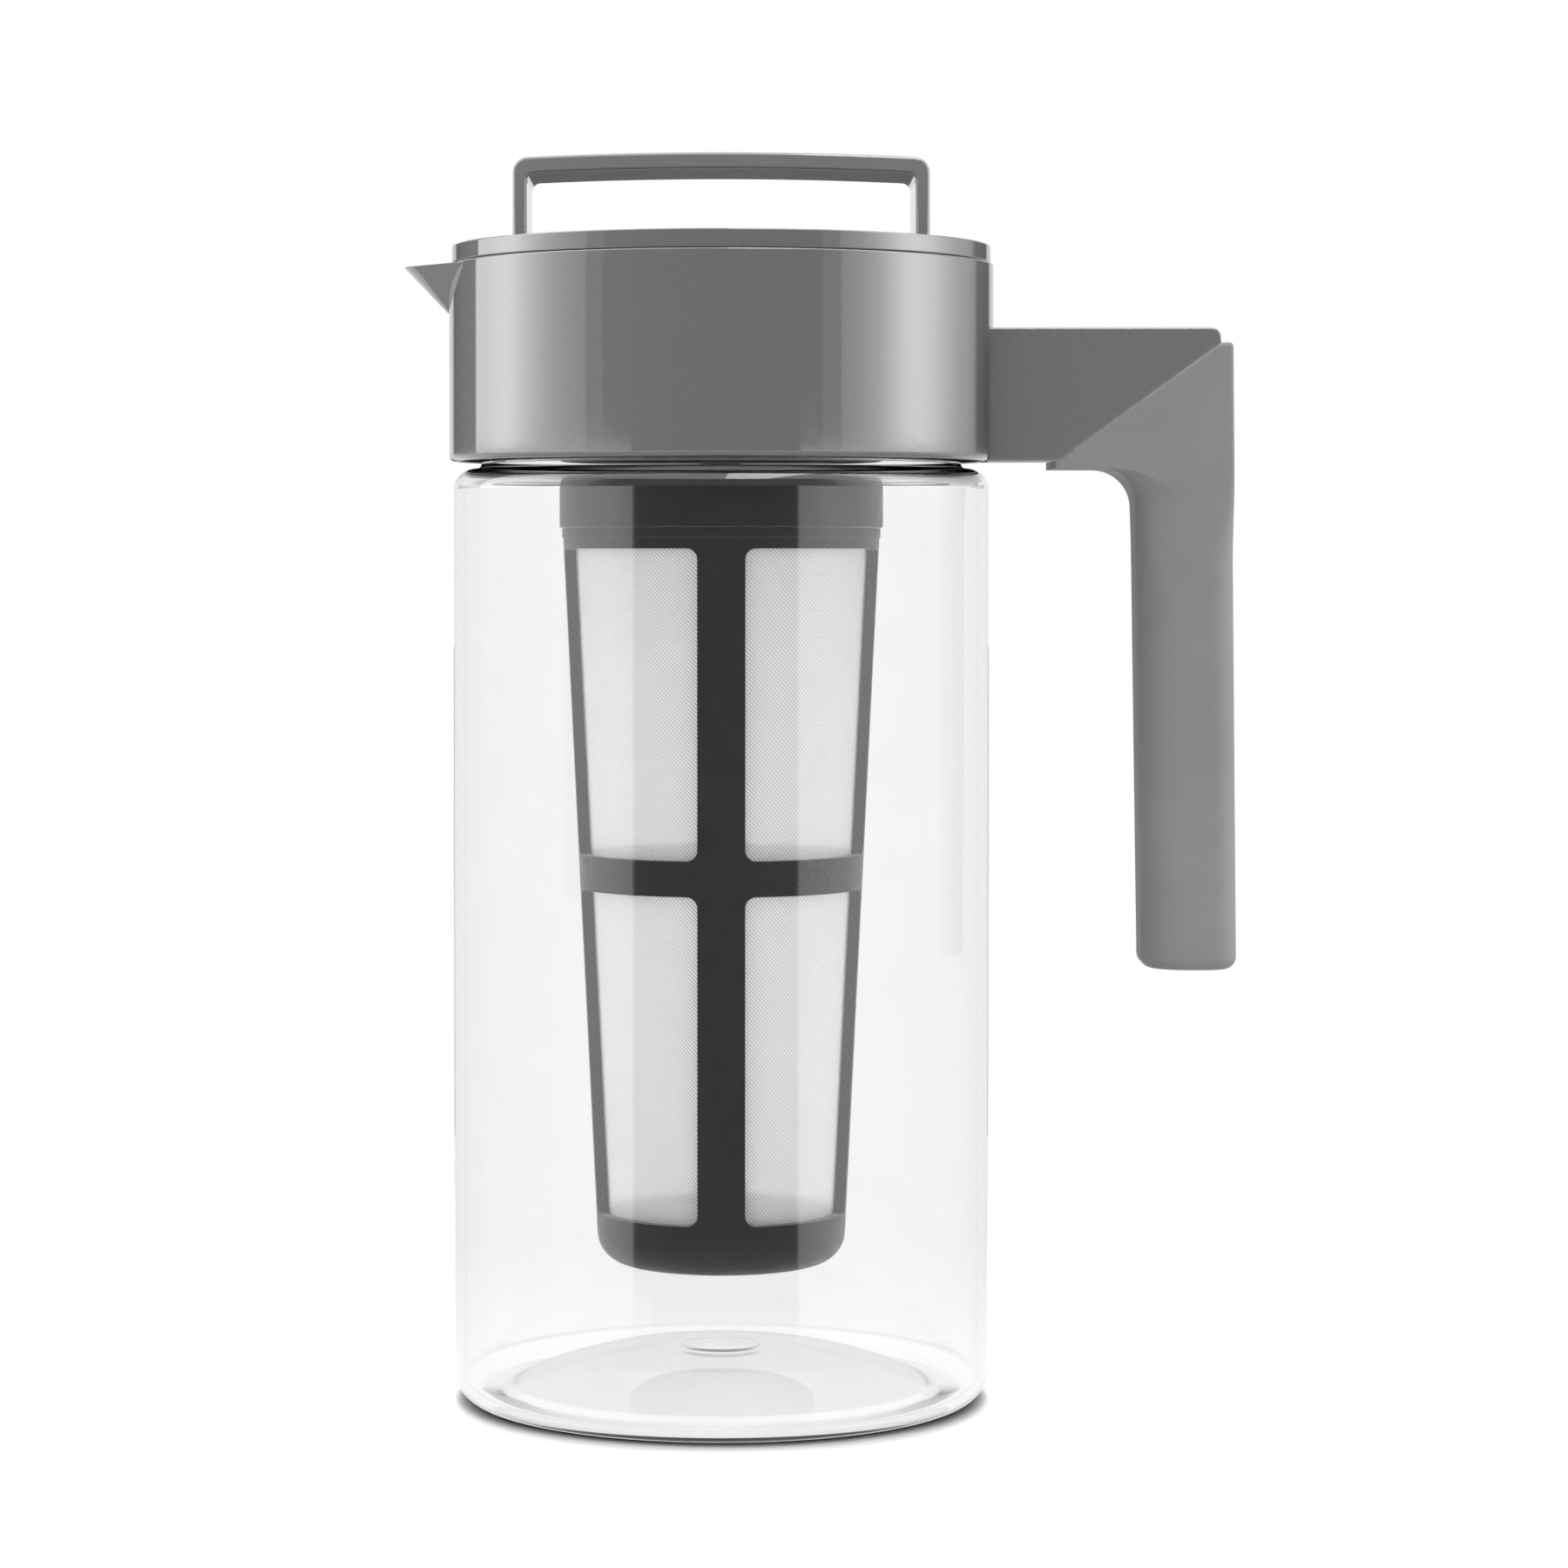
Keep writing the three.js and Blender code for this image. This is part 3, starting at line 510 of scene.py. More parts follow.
# Grip and its core.
# The grip is a soft-touch moulding over a stiff core that plugs into the arm. Below it is a rounded
# bar for the hand; above it turns square and flares into a wedge that is flush with the arm.
grip_top = collar_bottom + 26.2 * mm
grip_length = 139.7 * mm
grip_bottom = grip_top - grip_length
chin = collar_bottom - 1.7 * mm
outer_top = joint_end + 2.8 * mm
outer_bottom = outer_top + 1.5 * mm
depth_top = 21.9 * mm
depth_bottom = 21.2 * mm
grip_fillet = 8 * mm
outer_round = 6 * mm
grip_edge = 1 * mm
fade_height = 22 * mm
end_round = 2.8 * mm
chin_left = joint_start - 0.9 * mm
fit = 0.06 * mm
joint_slope = joint_rise / (joint_end - joint_start)
inner_rounds = (
    (0, 1, 1),
    (0.2, 3.5, 1.5),
    (1.3, 8, 3),
    (4.6, 12.3, 5),
    (7.5, 14, 6.5),
    (13, 12.5, 8),
    (22, 9, 9),
    (200, 9, 9),
)


def inner_corner(height):
    """How far the corner next to the jar reaches across and back, by its drop below the chin."""
    drop = (chin - height) / mm
    for near, far in zip(inner_rounds, inner_rounds[1:]):
        if drop < far[0]:
            share = max(0, (drop - near[0]) / (far[0] - near[0]))
            return [(near[item] + (far[item] - near[item]) * share) * mm for item in (1, 2)]
    return [inner_rounds[-1][1] * mm, inner_rounds[-1][2] * mm]


def grip_level(height, inset=0, left=None):
    """One level of the grip: its height, its sides, its half width and how far its corners reach."""
    share = (grip_top - height) / grip_length
    right = outer_top + (outer_bottom - outer_top) * share
    if left is None:
        left = right - depth_top - (depth_bottom - depth_top) * share
        rise = max(0, height - chin + grip_fillet)
        left -= grip_fillet - math.sqrt(max(0, grip_fillet**2 - rise**2))
    fade = min(1, max(0, (height - chin + fade_height) / fade_height))
    outer = outer_round + (grip_edge - outer_round) * fade * fade * (3 - 2 * fade) - inset / 2
    across, back = inner_corner(height)
    return {
        "height": height,
        "half": arm_half_width - inset,
        "side": {-1: left + inset, 1: right - inset},
        "across": {-1: across - inset / 2, 1: outer},
        "back": {-1: back - inset / 2, 1: outer},
    }


levels = []
for step in range(7):
    angle = math.radians(90 - 15 * step)
    height = grip_bottom + end_round * (1 - math.sin(angle))
    levels.append(grip_level(height, end_round * (1 - math.cos(angle))))
bar_bottom = grip_bottom + end_round
bar_top = chin - fade_height
for share in (0.1, 0.4, 0.7, 1):
    levels.append(grip_level(bar_bottom + share * (bar_top - bar_bottom)))
for step in range(1, 13):
    levels.append(grip_level(bar_top + (fade_height - grip_fillet) * step / 12))
for step in range(1, 16):
    levels.append(grip_level(chin - grip_fillet * (1 - math.sin(math.radians(step * 6)))))

# Above the chin the wedge is square. Its left side is first the chin's short end, then the slanting
# joint, and its top is softly crowned.
hair = 1e-6
crown = 1.2 * mm
chin_ledge = collar_bottom - fit
rise_fit = fit * math.sqrt(1 + joint_slope**2)


def joint_x(height):
    """Where the slanting joint face of the grip is at a height."""
    return joint_start + (height + rise_fit - collar_bottom) / joint_slope


levels.append(grip_level(chin + hair, 0, chin_left))
levels.append(grip_level(chin_ledge, 0, chin_left))
levels.append(grip_level(chin_ledge + hair, 0, joint_x(chin_ledge)))
for step in range(7):
    angle = math.radians(15 * step)
    height = grip_top - crown * (1 - math.sin(angle))
    inset = crown * (1 - math.cos(angle)) / 2
    levels.append(grip_level(height, inset, joint_x(height) - inset))

level = levels[0]
low = level["height"]
front_ring = [(level["side"][-1], 0, low)]
for side, start in ((-1, 180), (1, 270)):
    across = level["across"][side]
    back = level["back"][side]
    for step in range(13):
        angle = math.radians(start + 7.5 * step)
        x = level["side"][side] - side * across + across * math.cos(angle)
        front_ring.append((x, back - level["half"] + back * math.sin(angle), low))
front_ring.append((level["side"][1], 0, low))
grip = draw_chain("grip_moulding", front_ring)
bpy.ops.mesh.select_all(action="SELECT")
for now, then in zip(levels, levels[1:]):
    height = then["height"]
    middle = (now["side"][-1] + now["side"][1]) / 2
    bpy.ops.mesh.extrude_region_move(TRANSFORM_OT_translate={"value": (0, 0, height - now["height"])})
    for side in (1, -1):
        widen = then["side"][side] - now["side"][side]
        select_vertices(
            grip,
            lambda place: abs(place.z - height) < hair / 3
            and (place.x - middle) * side > 0
            and place.y < -hair,
        )
        grow_across = then["across"][side] / now["across"][side]
        grow_back = then["back"][side] / now["back"][side]
        bpy.ops.transform.resize(
            value=(grow_across, grow_back, 1), center_override=(now["side"][side], -now["half"], height)
        )
        bpy.ops.transform.translate(value=(widen, now["half"] - then["half"], 0))
        select_vertices(
            grip,
            lambda place: abs(place.z - height) < hair / 3
            and (place.x - middle) * side > 0
            and place.y >= -hair,
        )
        bpy.ops.transform.translate(value=(widen, 0, 0))
    select_vertices(grip, lambda place: abs(place.z - height) < hair / 3)
bpy.ops.object.mode_set(mode="OBJECT")
bpy.ops.object.modifier_add(type="MIRROR")
grip.modifiers[-1].use_axis = (False, True, False)
grip.modifiers[-1].merge_threshold = hair
bpy.ops.object.modifier_apply(modifier=grip.modifiers[-1].name)
bpy.ops.object.mode_set(mode="EDIT")
bpy.ops.mesh.select_all(action="SELECT")
bpy.ops.mesh.remove_doubles(threshold=2 * hair)
bpy.ops.mesh.fill_holes(sides=0)
close_skin()


def soft_touch(name):
    """Matte soft-touch skin: a fine powdery grain, with broad faint clouding where hands rub it."""
    material, nodes, links, shader = new_finish(name)
    shader.inputs["IOR"].default_value = 1.45
    dark = (0.215, 0.215, 0.216)
    light = (0.238, 0.238, 0.24)
    colour_between(nodes, links, grain(nodes, links, 45, 3), dark, light, shader.inputs["Base Color"])
    value_between(nodes, links, grain(nodes, links, 200, 3), 0.55, 0.68, shader.inputs["Roughness"])
    rise_and_fall(nodes, links, grain(nodes, links, 4000, 2), 0.03 * mm, 0.35, shader)
    return material


grip.data.materials.append(soft_touch("grip_soft_touch"))
grip.visible_glossy = False
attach(grip, "pitcher")
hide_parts("handle_grip")

# The core inside keeps the solid's own shape and takes the arm's grey.
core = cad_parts["handle_core"]
core.data.materials.clear()
core.data.materials.append(gloss_grey("core_grey"))
core.visible_glossy = False

# Lid's cap and its handle.
# The cap is a thin glossy disc with a crisp rim, welded over the lid's plug. Its handle is one wide
# flat strap, bent down at both ends into pockets in the cap, with a very slightly arched bar.
cap_radius = 60.4 * mm
cap_bottom = 254.5 * mm
cap_top = 258.5 * mm
cap_plate_bottom = cap_top - 3 * mm
cap_spigot = 51.8 * mm
cap_spigot_wall = 2 * mm
cap_spigot_bottom = cap_bottom - 2.3 * mm
cap_round = 0.35 * mm
cap_middle = 20 * mm
spigot_bore = cap_spigot - cap_spigot_wall
cap_section = (
    [(0, cap_plate_bottom), (spigot_bore, cap_plate_bottom), (spigot_bore, cap_spigot_bottom)]
    + [(cap_spigot, cap_spigot_bottom), (cap_spigot, cap_bottom)]
    + corner(cap_radius - cap_round, cap_bottom + cap_round, cap_round, -90, 0, 5)
    + corner(cap_radius - cap_round, cap_top - cap_round, cap_round, 0, 90, 5)
    + [(cap_middle, cap_top), (0, cap_top)]
)
cap = turn_piece("cap_moulding", cap_section)

strap_half_span = 46.1 * mm
strap_leg = 3.1 * mm
strap_bar = 3.6 * mm
strap_depth = 30 * mm
strap_height = 20.1 * mm
strap_arch = 1.2 * mm
strap_outer_round = 3.5 * mm
strap_inner_round = 2 * mm
strap_edge = 0.8 * mm
strap_foot = cap_top - 1.4 * mm
strap_crown = cap_top + strap_height


def arch_height(x):
    """Height of the top of the strap's bar at a distance from its middle."""
    return strap_crown - strap_arch * (x / strap_half_span) ** 2


outer_x = strap_half_span - strap_outer_round
inner_x = strap_half_span - strap_leg - strap_inner_round
outer_z = arch_height(outer_x) - strap_outer_round
inner_z = arch_height(inner_x) - strap_bar - strap_inner_round
bar_shares = [1 - step / 12 for step in range(1, 24)]
strap_outline = (
    [(strap_half_span, strap_foot)]
    + corner(outer_x, outer_z, strap_outer_round, 0, 90, 10)
    + [(outer_x * share, arch_height(outer_x * share)) for share in bar_shares]
    + corner(-outer_x, outer_z, strap_outer_round, 90, 180, 10)
    + [(-strap_half_span, strap_foot), (strap_leg - strap_half_span, strap_foot)]
    + corner(-inner_x, inner_z, strap_inner_round, 180, 90, 8)
    + [(-inner_x * share, arch_height(inner_x * share) - strap_bar) for share in bar_shares]
    + corner(inner_x, inner_z, strap_inner_round, 90, 0, 8)
    + [(strap_half_span - strap_leg, strap_foot), (strap_half_span, strap_foot)]
)
strap = draw_chain("strap_moulding", [(axis_x + x, -strap_depth / 2, z) for x, z in strap_outline])
thicken_outline((0, strap_depth, 0))
round_edges(strap, strap_edge, on_one_flank)
pocket_play = 0.6 * mm
pocket_height = 3.4 * mm
for side in (-1, 1):
    bpy.ops.object.select_all(action="DESELECT")
    bpy.ops.mesh.primitive_cube_add(
        size=1,
        location=(axis_x + side * (strap_half_span - strap_leg / 2), 0, cap_top),
        scale=(strap_leg + pocket_play, strap_depth + pocket_play, pocket_height),
    )
    combine(cap, bpy.context.object, "DIFFERENCE")
shade_skin(cap)
cap.data.materials.clear()
cap.data.materials.append(gloss_grey("cap_grey"))
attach(cap, "lid")
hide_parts("lid_cap")
# The strap's grey is painted lighter than the cap's. This is painted light that brightens its shaded
# underside and its front.
strap_painted_light = 1.35
strap.data.materials.append(gloss_grey("strap_grey", strap_painted_light))
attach(strap, "lid")
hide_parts("lid_handle")

# Lid's plug and seal.
# Under the cap hangs a hollow plug in the same grey: a drum that closes the collar on a silicone
# seal, a barrel down the neck with three thread lugs, and a socket that the infuser screws into.
drum_radius = 54.5 * mm
drum_bore = 52.1 * mm
drum_bottom = 244.8 * mm
drum_floor = 247 * mm
drum_top = cap_bottom - 0.3 * mm
barrel_radius = 49.5 * mm
barrel_bore = 47.3 * mm
plug_bottom = 209.5 * mm
socket_radius = 35.4 * mm
socket_ceiling = 222 * mm
socket_wall = 2.2 * mm
toe_round = 0.8 * mm
plug_section = (
    [(0, socket_ceiling), (socket_radius, socket_ceiling), (socket_radius, plug_bottom)]
    + corner(barrel_radius - toe_round, plug_bottom + toe_round, toe_round, -90, 0, 5)
    + [(barrel_radius, drum_bottom)]
    + corner(drum_radius - toe_round, drum_bottom + toe_round, toe_round, -90, 0, 5)
    + corner(drum_radius - edge_round, drum_top - edge_round, edge_round, 0, 90, 2)
    + [(drum_bore, drum_top), (drum_bore, drum_floor), (barrel_bore, drum_floor)]
    + [(barrel_bore, plug_bottom + socket_wall), (socket_radius + socket_wall, plug_bottom + socket_wall)]
    + [(socket_radius + socket_wall, socket_ceiling + socket_wall), (0, socket_ceiling + socket_wall)]
)
plug = turn_piece("plug_moulding", plug_section)
lug_sweep = math.radians(70)
lug_rise = 4 * mm
lug_width = 1.6 * mm
lug_sink = 0.5 * mm
lug_play = 0.4 * mm
lug_steps = 36


def turned_copy(piece, angle):
    """A copy of a shape that was made at the origin, turned and moved to the jar's axis."""
    bpy.ops.object.select_all(action="DESELECT")
    bpy.context.view_layer.objects.active = piece
    piece.select_set(True)
    bpy.ops.object.duplicate()
    twin = bpy.context.object
    bpy.ops.object.mode_set(mode="EDIT")
    bpy.ops.mesh.select_all(action="SELECT")
    bpy.ops.transform.rotate(value=angle, orient_axis="Z", center_override=(0, 0, 0))
    bpy.ops.transform.translate(value=(axis_x, 0, 0))
    close_skin()
    return twin


def thread_lugs(piece, root, crest, base):
    """Three short ridges that climb round a barrel: one is modelled, copied and joined to it."""
    outline = [
        (root - lug_sink, base),
        (crest, base + lug_width / 3),
        (crest, base + 2 * lug_width / 3),
        (root - lug_sink, base + lug_width),
        (root - lug_sink, base),
    ]
    lug = draw_chain("lug", [(radius, 0, height) for radius, height in outline])
    bpy.ops.mesh.select_all(action="SELECT")
    bpy.ops.mesh.remove_doubles(threshold=merge_gap)
    bpy.ops.object.mode_set(mode="OBJECT")
    bpy.ops.object.modifier_add(type="SCREW")
    screw = lug.modifiers[-1]
    screw.angle = lug_sweep
    screw.screw_offset = lug_rise
    screw.steps = lug_steps
    screw.render_steps = lug_steps
    bpy.ops.object.modifier_apply(modifier=screw.name)
    bpy.ops.object.mode_set(mode="EDIT")
    bpy.ops.mesh.select_all(action="SELECT")
    bpy.ops.mesh.fill_holes(sides=0)
    for end in (0, lug_sweep):
        away = Vector((math.cos(end), math.sin(end), 0))
        select_vertices(
            lug,
            lambda place: abs(math.atan2(place.y, place.x) - end) < 0.01
            and place.to_2d().length > root,
        )
        bpy.ops.transform.translate(value=away * (root - crest))
    bpy.ops.object.mode_set(mode="OBJECT")
    for turn in range(3):
        twin = turned_copy(lug, turn * 2 * math.pi / 3)
        bpy.ops.object.select_all(action="DESELECT")
        twin.select_set(True)
        piece.select_set(True)
        bpy.context.view_layer.objects.active = piece
        bpy.ops.object.join()
    bpy.data.objects.remove(lug)


thread_lugs(plug, barrel_radius, bore_radius - lug_play, plug_bottom + 17 * mm)
plug.data.materials.append(gloss_grey("plug_grey"))
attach(plug, "lid")
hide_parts("lid_plug")

seal_bottom = 242.7 * mm
seal_top = 244.5 * mm
seal_round = 0.6 * mm
seal_inner = barrel_radius + seal_play
seal_outer = drum_radius - seal_play
seal = washer("seal_washer", seal_inner, seal_outer, seal_bottom, seal_top, seal_round)
seal.data.materials.append(soft_silicone("seal_silicone"))
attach(seal, "seal")
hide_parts("lid_seal")

# Infuser's ring.
# A smooth dark ring closes the top of the basket. Its threaded neck screws up into the lid's socket.
ring_radius = 36.3 * mm
ring_bottom = 195.6 * mm
ring_top = 209.2 * mm
ring_neck = 33.8 * mm
ring_neck_top = 221 * mm
ring_bore = 31.8 * mm
recess_radius = 34.2 * mm
recess_top = 203 * mm
ring_round = 0.5 * mm
ring_section = (
    [(recess_radius, recess_top), (recess_radius, ring_bottom)]
    + corner(ring_radius - ring_round, ring_bottom + ring_round, ring_round, -90, 0, 4)
    + corner(ring_radius - ring_round, ring_top - ring_round, ring_round, 0, 90, 4)
    + [(ring_neck, ring_top)]
    + corner(ring_neck - ring_round, ring_neck_top - ring_round, ring_round, 0, 90, 4)
    + [(ring_bore, ring_neck_top), (ring_bore, recess_top), (recess_radius, recess_top)]
)
ring = turn_piece("ring_moulding", ring_section)
thread_lugs(ring, ring_neck, socket_radius - lug_play, ring_top + 2.4 * mm)


def dark_satin(name):
    """Dark satin plastic with a very fine moulded grain."""
    material, nodes, links, shader = new_finish(name)
    shader.inputs["IOR"].default_value = 1.4
    dark = (0.009, 0.009, 0.0093)
    light = (0.0125, 0.0125, 0.0129)
    colour_between(nodes, links, grain(nodes, links, 80, 3), dark, light, shader.inputs["Base Color"])
    value_between(nodes, links, grain(nodes, links, 300, 2), 0.34, 0.46, shader.inputs["Roughness"])
    rise_and_fall(nodes, links, grain(nodes, links, 3000, 2), 0.004 * mm, 0.1, shader)
    return material


ring.data.materials.append(dark_satin("ring_dark"))
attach(ring, "infuser")
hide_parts("infuser_ring")

# Infuser's basket.
# The basket is one dark moulding: a tapered cup with four ribs and a middle ring round eight
# windows, which are rounded at their corners.
basket_top = 195.5 * mm
basket_bottom = 30.6 * mm
basket_top_radius = 35.5 * mm
basket_bottom_radius = 27.9 * mm
basket_wall = 2.4 * mm
basket_heel = 7 * mm
flange_radius = 35.75 * mm
flange_height = 2.1 * mm
cup_top = 42.2 * mm
mid_low = 114.9 * mm
mid_high = 122.7 * mm
window_top = 191 * mm
rib_width = 10.4 * mm
window_round = 2.4 * mm
ledge_z = 41.5 * mm
mesh_ledge = 193.8 * mm
spigot_radius = 33.9 * mm
spigot_top = 202.7 * mm
cup_step = 1.3 * mm
window_reach = 45 * mm


def basket_radius(height):
    """Outer radius of the tapered basket at a height."""
    low = basket_bottom + basket_heel
    share = (height - low) / (basket_top - flange_height - low)
    return basket_bottom_radius + (basket_top_radius - basket_bottom_radius) * share


heel_centre = basket_bottom_radius - basket_heel
inner_heel = basket_heel - basket_wall - cup_step
ledge_radius = basket_radius(ledge_z) - basket_wall
flange_bottom = basket_top - flange_height
taper_heights = (80 * mm, 120 * mm, 160 * mm, flange_bottom)
basket_section = (
    [(0, basket_bottom)]
    + corner(heel_centre, basket_bottom + basket_heel, basket_heel, -90, 0, 12)
    + [(basket_radius(height), height) for height in taper_heights]
    + corner(flange_radius - edge_round, flange_bottom + edge_round, edge_round, -90, 0, 2)
    + corner(flange_radius - edge_round, basket_top - edge_round, edge_round, 0, 90, 2)
    + [(spigot_radius, basket_top), (spigot_radius, spigot_top), (ring_bore, spigot_top)]
    + [(ring_bore, mesh_ledge), (basket_radius(mesh_ledge) - basket_wall, mesh_ledge)]
    + [(ledge_radius, ledge_z), (ledge_radius - cup_step, ledge_z)]
    + corner(heel_centre, basket_bottom + basket_wall + inner_heel, inner_heel, 0, -90, 6)
    + [(0, basket_bottom + basket_wall)]
)
basket = turn_piece("basket_moulding", basket_section)
for low, high in ((cup_top, mid_low), (mid_high, window_top)):
    near = rib_width / 2
    outline = (
        [(window_reach, low), (window_reach, high)]
        + corner(near + window_round, high - window_round, window_round, 90, 180, 8)
        + corner(near + window_round, low + window_round, window_round, 180, 270, 8)
        + [(window_reach, low)]
    )
    cutters = []
    for crossing in (0, 1):
        cutters.append(draw_chain("window", [(x, 0, z) for x, z in outline]))
        thicken_outline((0, window_reach, 0))
        if crossing:
            bpy.ops.mesh.select_all(action="SELECT")
            bpy.ops.transform.resize(value=(1, -1, 1), center_override=(0, 0, 0))
            bpy.ops.transform.rotate(value=-math.pi / 2, orient_axis="Z", center_override=(0, 0, 0))
        close_skin()
    combine(cutters[0], cutters[1], "INTERSECT")
    for quarter in range(4):
        combine(basket, turned_copy(cutters[0], quarter * math.pi / 2), "DIFFERENCE")
    bpy.data.objects.remove(cutters[0])
shade_skin(basket)
basket.data.materials.clear()
basket.data.materials.append(dark_satin("basket_dark"))
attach(basket, "infuser")
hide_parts("infuser_frame")
basket.visible_glossy = False

# Infuser's mesh.
# A tapered sleeve of fine pale twill-woven mesh lines the basket. It lets some light through.
mesh_top = 193.5 * mm
mesh_bottom = 41.8 * mm
mesh_thickness = 0.3 * mm
mesh_inset = basket_wall + 0.3 * mm
mesh_section = [
    (basket_radius(mesh_bottom) - mesh_inset - mesh_thickness, mesh_bottom),
    (basket_radius(mesh_bottom) - mesh_inset, mesh_bottom),
    (basket_radius(mesh_top) - mesh_inset, mesh_top),
    (basket_radius(mesh_top) - mesh_inset - mesh_thickness, mesh_top),
]
sleeve = turn_piece("mesh_sleeve", mesh_section + mesh_section[:1])
twill_pitch = 0.65 * mm
sleeve_radius = 30 * mm
twill, nodes, links, shader = new_finish("mesh_twill")
place = place_on_piece(nodes, links)
parts = nodes.new("ShaderNodeSeparateXYZ")
links.new(place, parts.inputs["Vector"])
turn = reckon("ARCTAN2", parts.outputs["Y"], parts.outputs["X"])
round_place = reckon("MULTIPLY", turn, sleeve_radius)
slant = reckon("ADD", round_place, parts.outputs["Z"])
counter_slant = reckon("SUBTRACT", round_place, parts.outputs["Z"])
twill_beat = 2 * math.pi / (twill_pitch * math.sqrt(2))
wave = reckon("SINE", reckon("MULTIPLY", slant, twill_beat))
cross_wave = reckon("SINE", reckon("MULTIPLY", counter_slant, 3 * twill_beat))
weave = reckon("ADD", reckon("MULTIPLY", wave, 0.36), reckon("MULTIPLY", cross_wave, 0.12))
weave = reckon("ADD", weave, 0.5)
colour_between(nodes, links, weave, (0.8, 0.8, 0.8), (0.98, 0.98, 0.98), shader.inputs["Base Color"])
value_between(nodes, links, weave, 0.3, 0.54, shader.inputs["Alpha"])
value_between(nodes, links, weave, 0.45, 0.65, shader.inputs["Roughness"])
rise_and_fall(nodes, links, weave, 0.1 * mm, 0.15, shader)
sleeve.data.materials.append(twill)
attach(sleeve, "sleeve")
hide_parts("infuser_mesh")
sleeve.visible_glossy = False

# Floor, light and camera.
# A small pale floor under plain soft light. The backdrop is white, with soft boxes at both sides
# and a dark room behind the camera, as the glossy pieces show it.
floor_radius = 320 * mm
floor_place = (axis_x, 0, 0)
bpy.ops.object.select_all(action="DESELECT")
bpy.ops.mesh.primitive_circle_add(vertices=128, radius=floor_radius, fill_type="NGON", location=floor_place)
floor = bpy.context.object
floor.name = "floor"
floor.visible_transmission = False
floor.visible_glossy = False
pale, nodes, links, shader = new_finish("pale_floor")
nodes.remove(shader)
matte = nodes.new("ShaderNodeBsdfDiffuse")
ray = nodes.new("ShaderNodeLightPath")
# The shadow where the jar stands is narrow at its sides and wider in front of it.
side_shadow = 3 * mm
front_shadow = 8 * mm
nearness = nodes.new("ShaderNodeAmbientOcclusion")
spot = nodes.new("ShaderNodeSeparateXYZ")
links.new(place_on_piece(nodes, links), spot.inputs["Vector"])
forward = reckon("MAXIMUM", reckon("DIVIDE", spot.outputs["Y"], -jar_radius), 0)
reach = reckon("ADD", reckon("MULTIPLY", reckon("MULTIPLY", forward, forward), front_shadow), side_shadow)
links.new(reach, nearness.inputs["Distance"])
contact = reckon("POWER", nearness.outputs["AO"], 1.2)
level = reckon("ADD", reckon("MULTIPLY", ray.outputs["Is Camera Ray"], 0.45), 0.8)
links.new(reckon("MULTIPLY", level, contact), matte.inputs["Color"])
links.new(matte.outputs["BSDF"], nodes["Material Output"].inputs["Surface"])
floor.data.materials.append(pale)

world = bpy.data.worlds.new("studio")
bpy.context.scene.world = world
world.use_nodes = True
world.cycles.sampling_method = "NONE"
nodes = world.node_tree.nodes
links = world.node_tree.links
ray = nodes.new("ShaderNodeLightPath")
way = nodes.new("ShaderNodeTexCoord")
parts = nodes.new("ShaderNodeSeparateXYZ")
links.new(way.outputs["Generated"], parts.inputs["Vector"])
across = parts.outputs["X"]
along = parts.outputs["Y"]
rise = parts.outputs["Z"]
bearing = reckon("MULTIPLY", reckon("ARCTAN2", across, reckon("MULTIPLY", along, -1)), 180 / math.pi)
spread = reckon("ABSOLUTE", bearing)
on_right = reckon("GREATER_THAN", bearing, 0)
flat = reckon("SQRT", reckon("ADD", reckon("MULTIPLY", across, across), reckon("MULTIPLY", along, along)))
slope = reckon("DIVIDE", rise, flat)


def curve_over(value, span, top, stops):
    """A curve through stops of place and level, over a span of places and up to a top level."""
    ramp = nodes.new("ShaderNodeValToRGB")
    while len(ramp.color_ramp.elements) < len(stops):
        ramp.color_ramp.elements.new(1)
    for element, (place, level) in zip(ramp.color_ramp.elements, stops):
        element.position = place / span
        element.color = (level / top, level / top, level / top, 1)
    links.new(reckon("DIVIDE", value, span), ramp.inputs["Fac"])
    return reckon("MULTIPLY", ramp.outputs["Color"], top)


def choose(test, yes, no):
    """One value where the test is one, and another where it is nought."""
    return reckon("ADD", reckon("MULTIPLY", test, yes), reckon("MULTIPLY", reckon("SUBTRACT", 1, test), no))


# Soft boxes at both sides, by bearing in degrees from the dark room behind the camera. The upper
# ones light the collar and the lid, the lower ones the jar.
half_turn = 180
box_top = 8
room = 0.04
high_left = curve_over(spread, half_turn, box_top, [
    (0, room), (49.9, room), (50.1, 0.5), (58, 0.5), (58.2, 1.35), (68, 2.0), (77, 3.0),
    (86.5, 4.5), (92, 5.5), (98, 6.3), (103, 6.1), (109, 5.3), (116, 4.2), (125.6, 3.1),
    (125.9, 0.16), (150, room), (154, room), (157, 1),
])
high_right = curve_over(spread, half_turn, box_top, [
    (0, room), (42.5, room), (42.7, 0.54), (50.7, 0.54), (50.9, 1.38), (60.6, 2.25), (69, 3.55),
    (78, 5.9), (83, 6.85), (88, 7.1), (93, 6.5), (99, 5.4), (105, 4.0), (111, 2.9),
    (118, 1.87), (133, 0.77), (137, room), (150, room), (154, room), (157, 1),
])
low_left = curve_over(spread, half_turn, box_top, [
    (0, room), (37.4, room), (37.6, 2.0), (48, 2.8), (70, 3.0), (94, 2.2), (120, 1.3), (130, 1),
])
low_right = curve_over(spread, half_turn, box_top, [
    (0, room), (32.5, room), (32.7, 1.9), (48, 2.8), (70, 3.0), (94, 2.2), (120, 1.3), (130, 1),
])
upper_boxes_from = 0.0222
is_high = reckon("GREATER_THAN", slope, upper_boxes_from)
sides = choose(is_high, choose(on_right, high_right, high_left), choose(on_right, low_right, low_left))

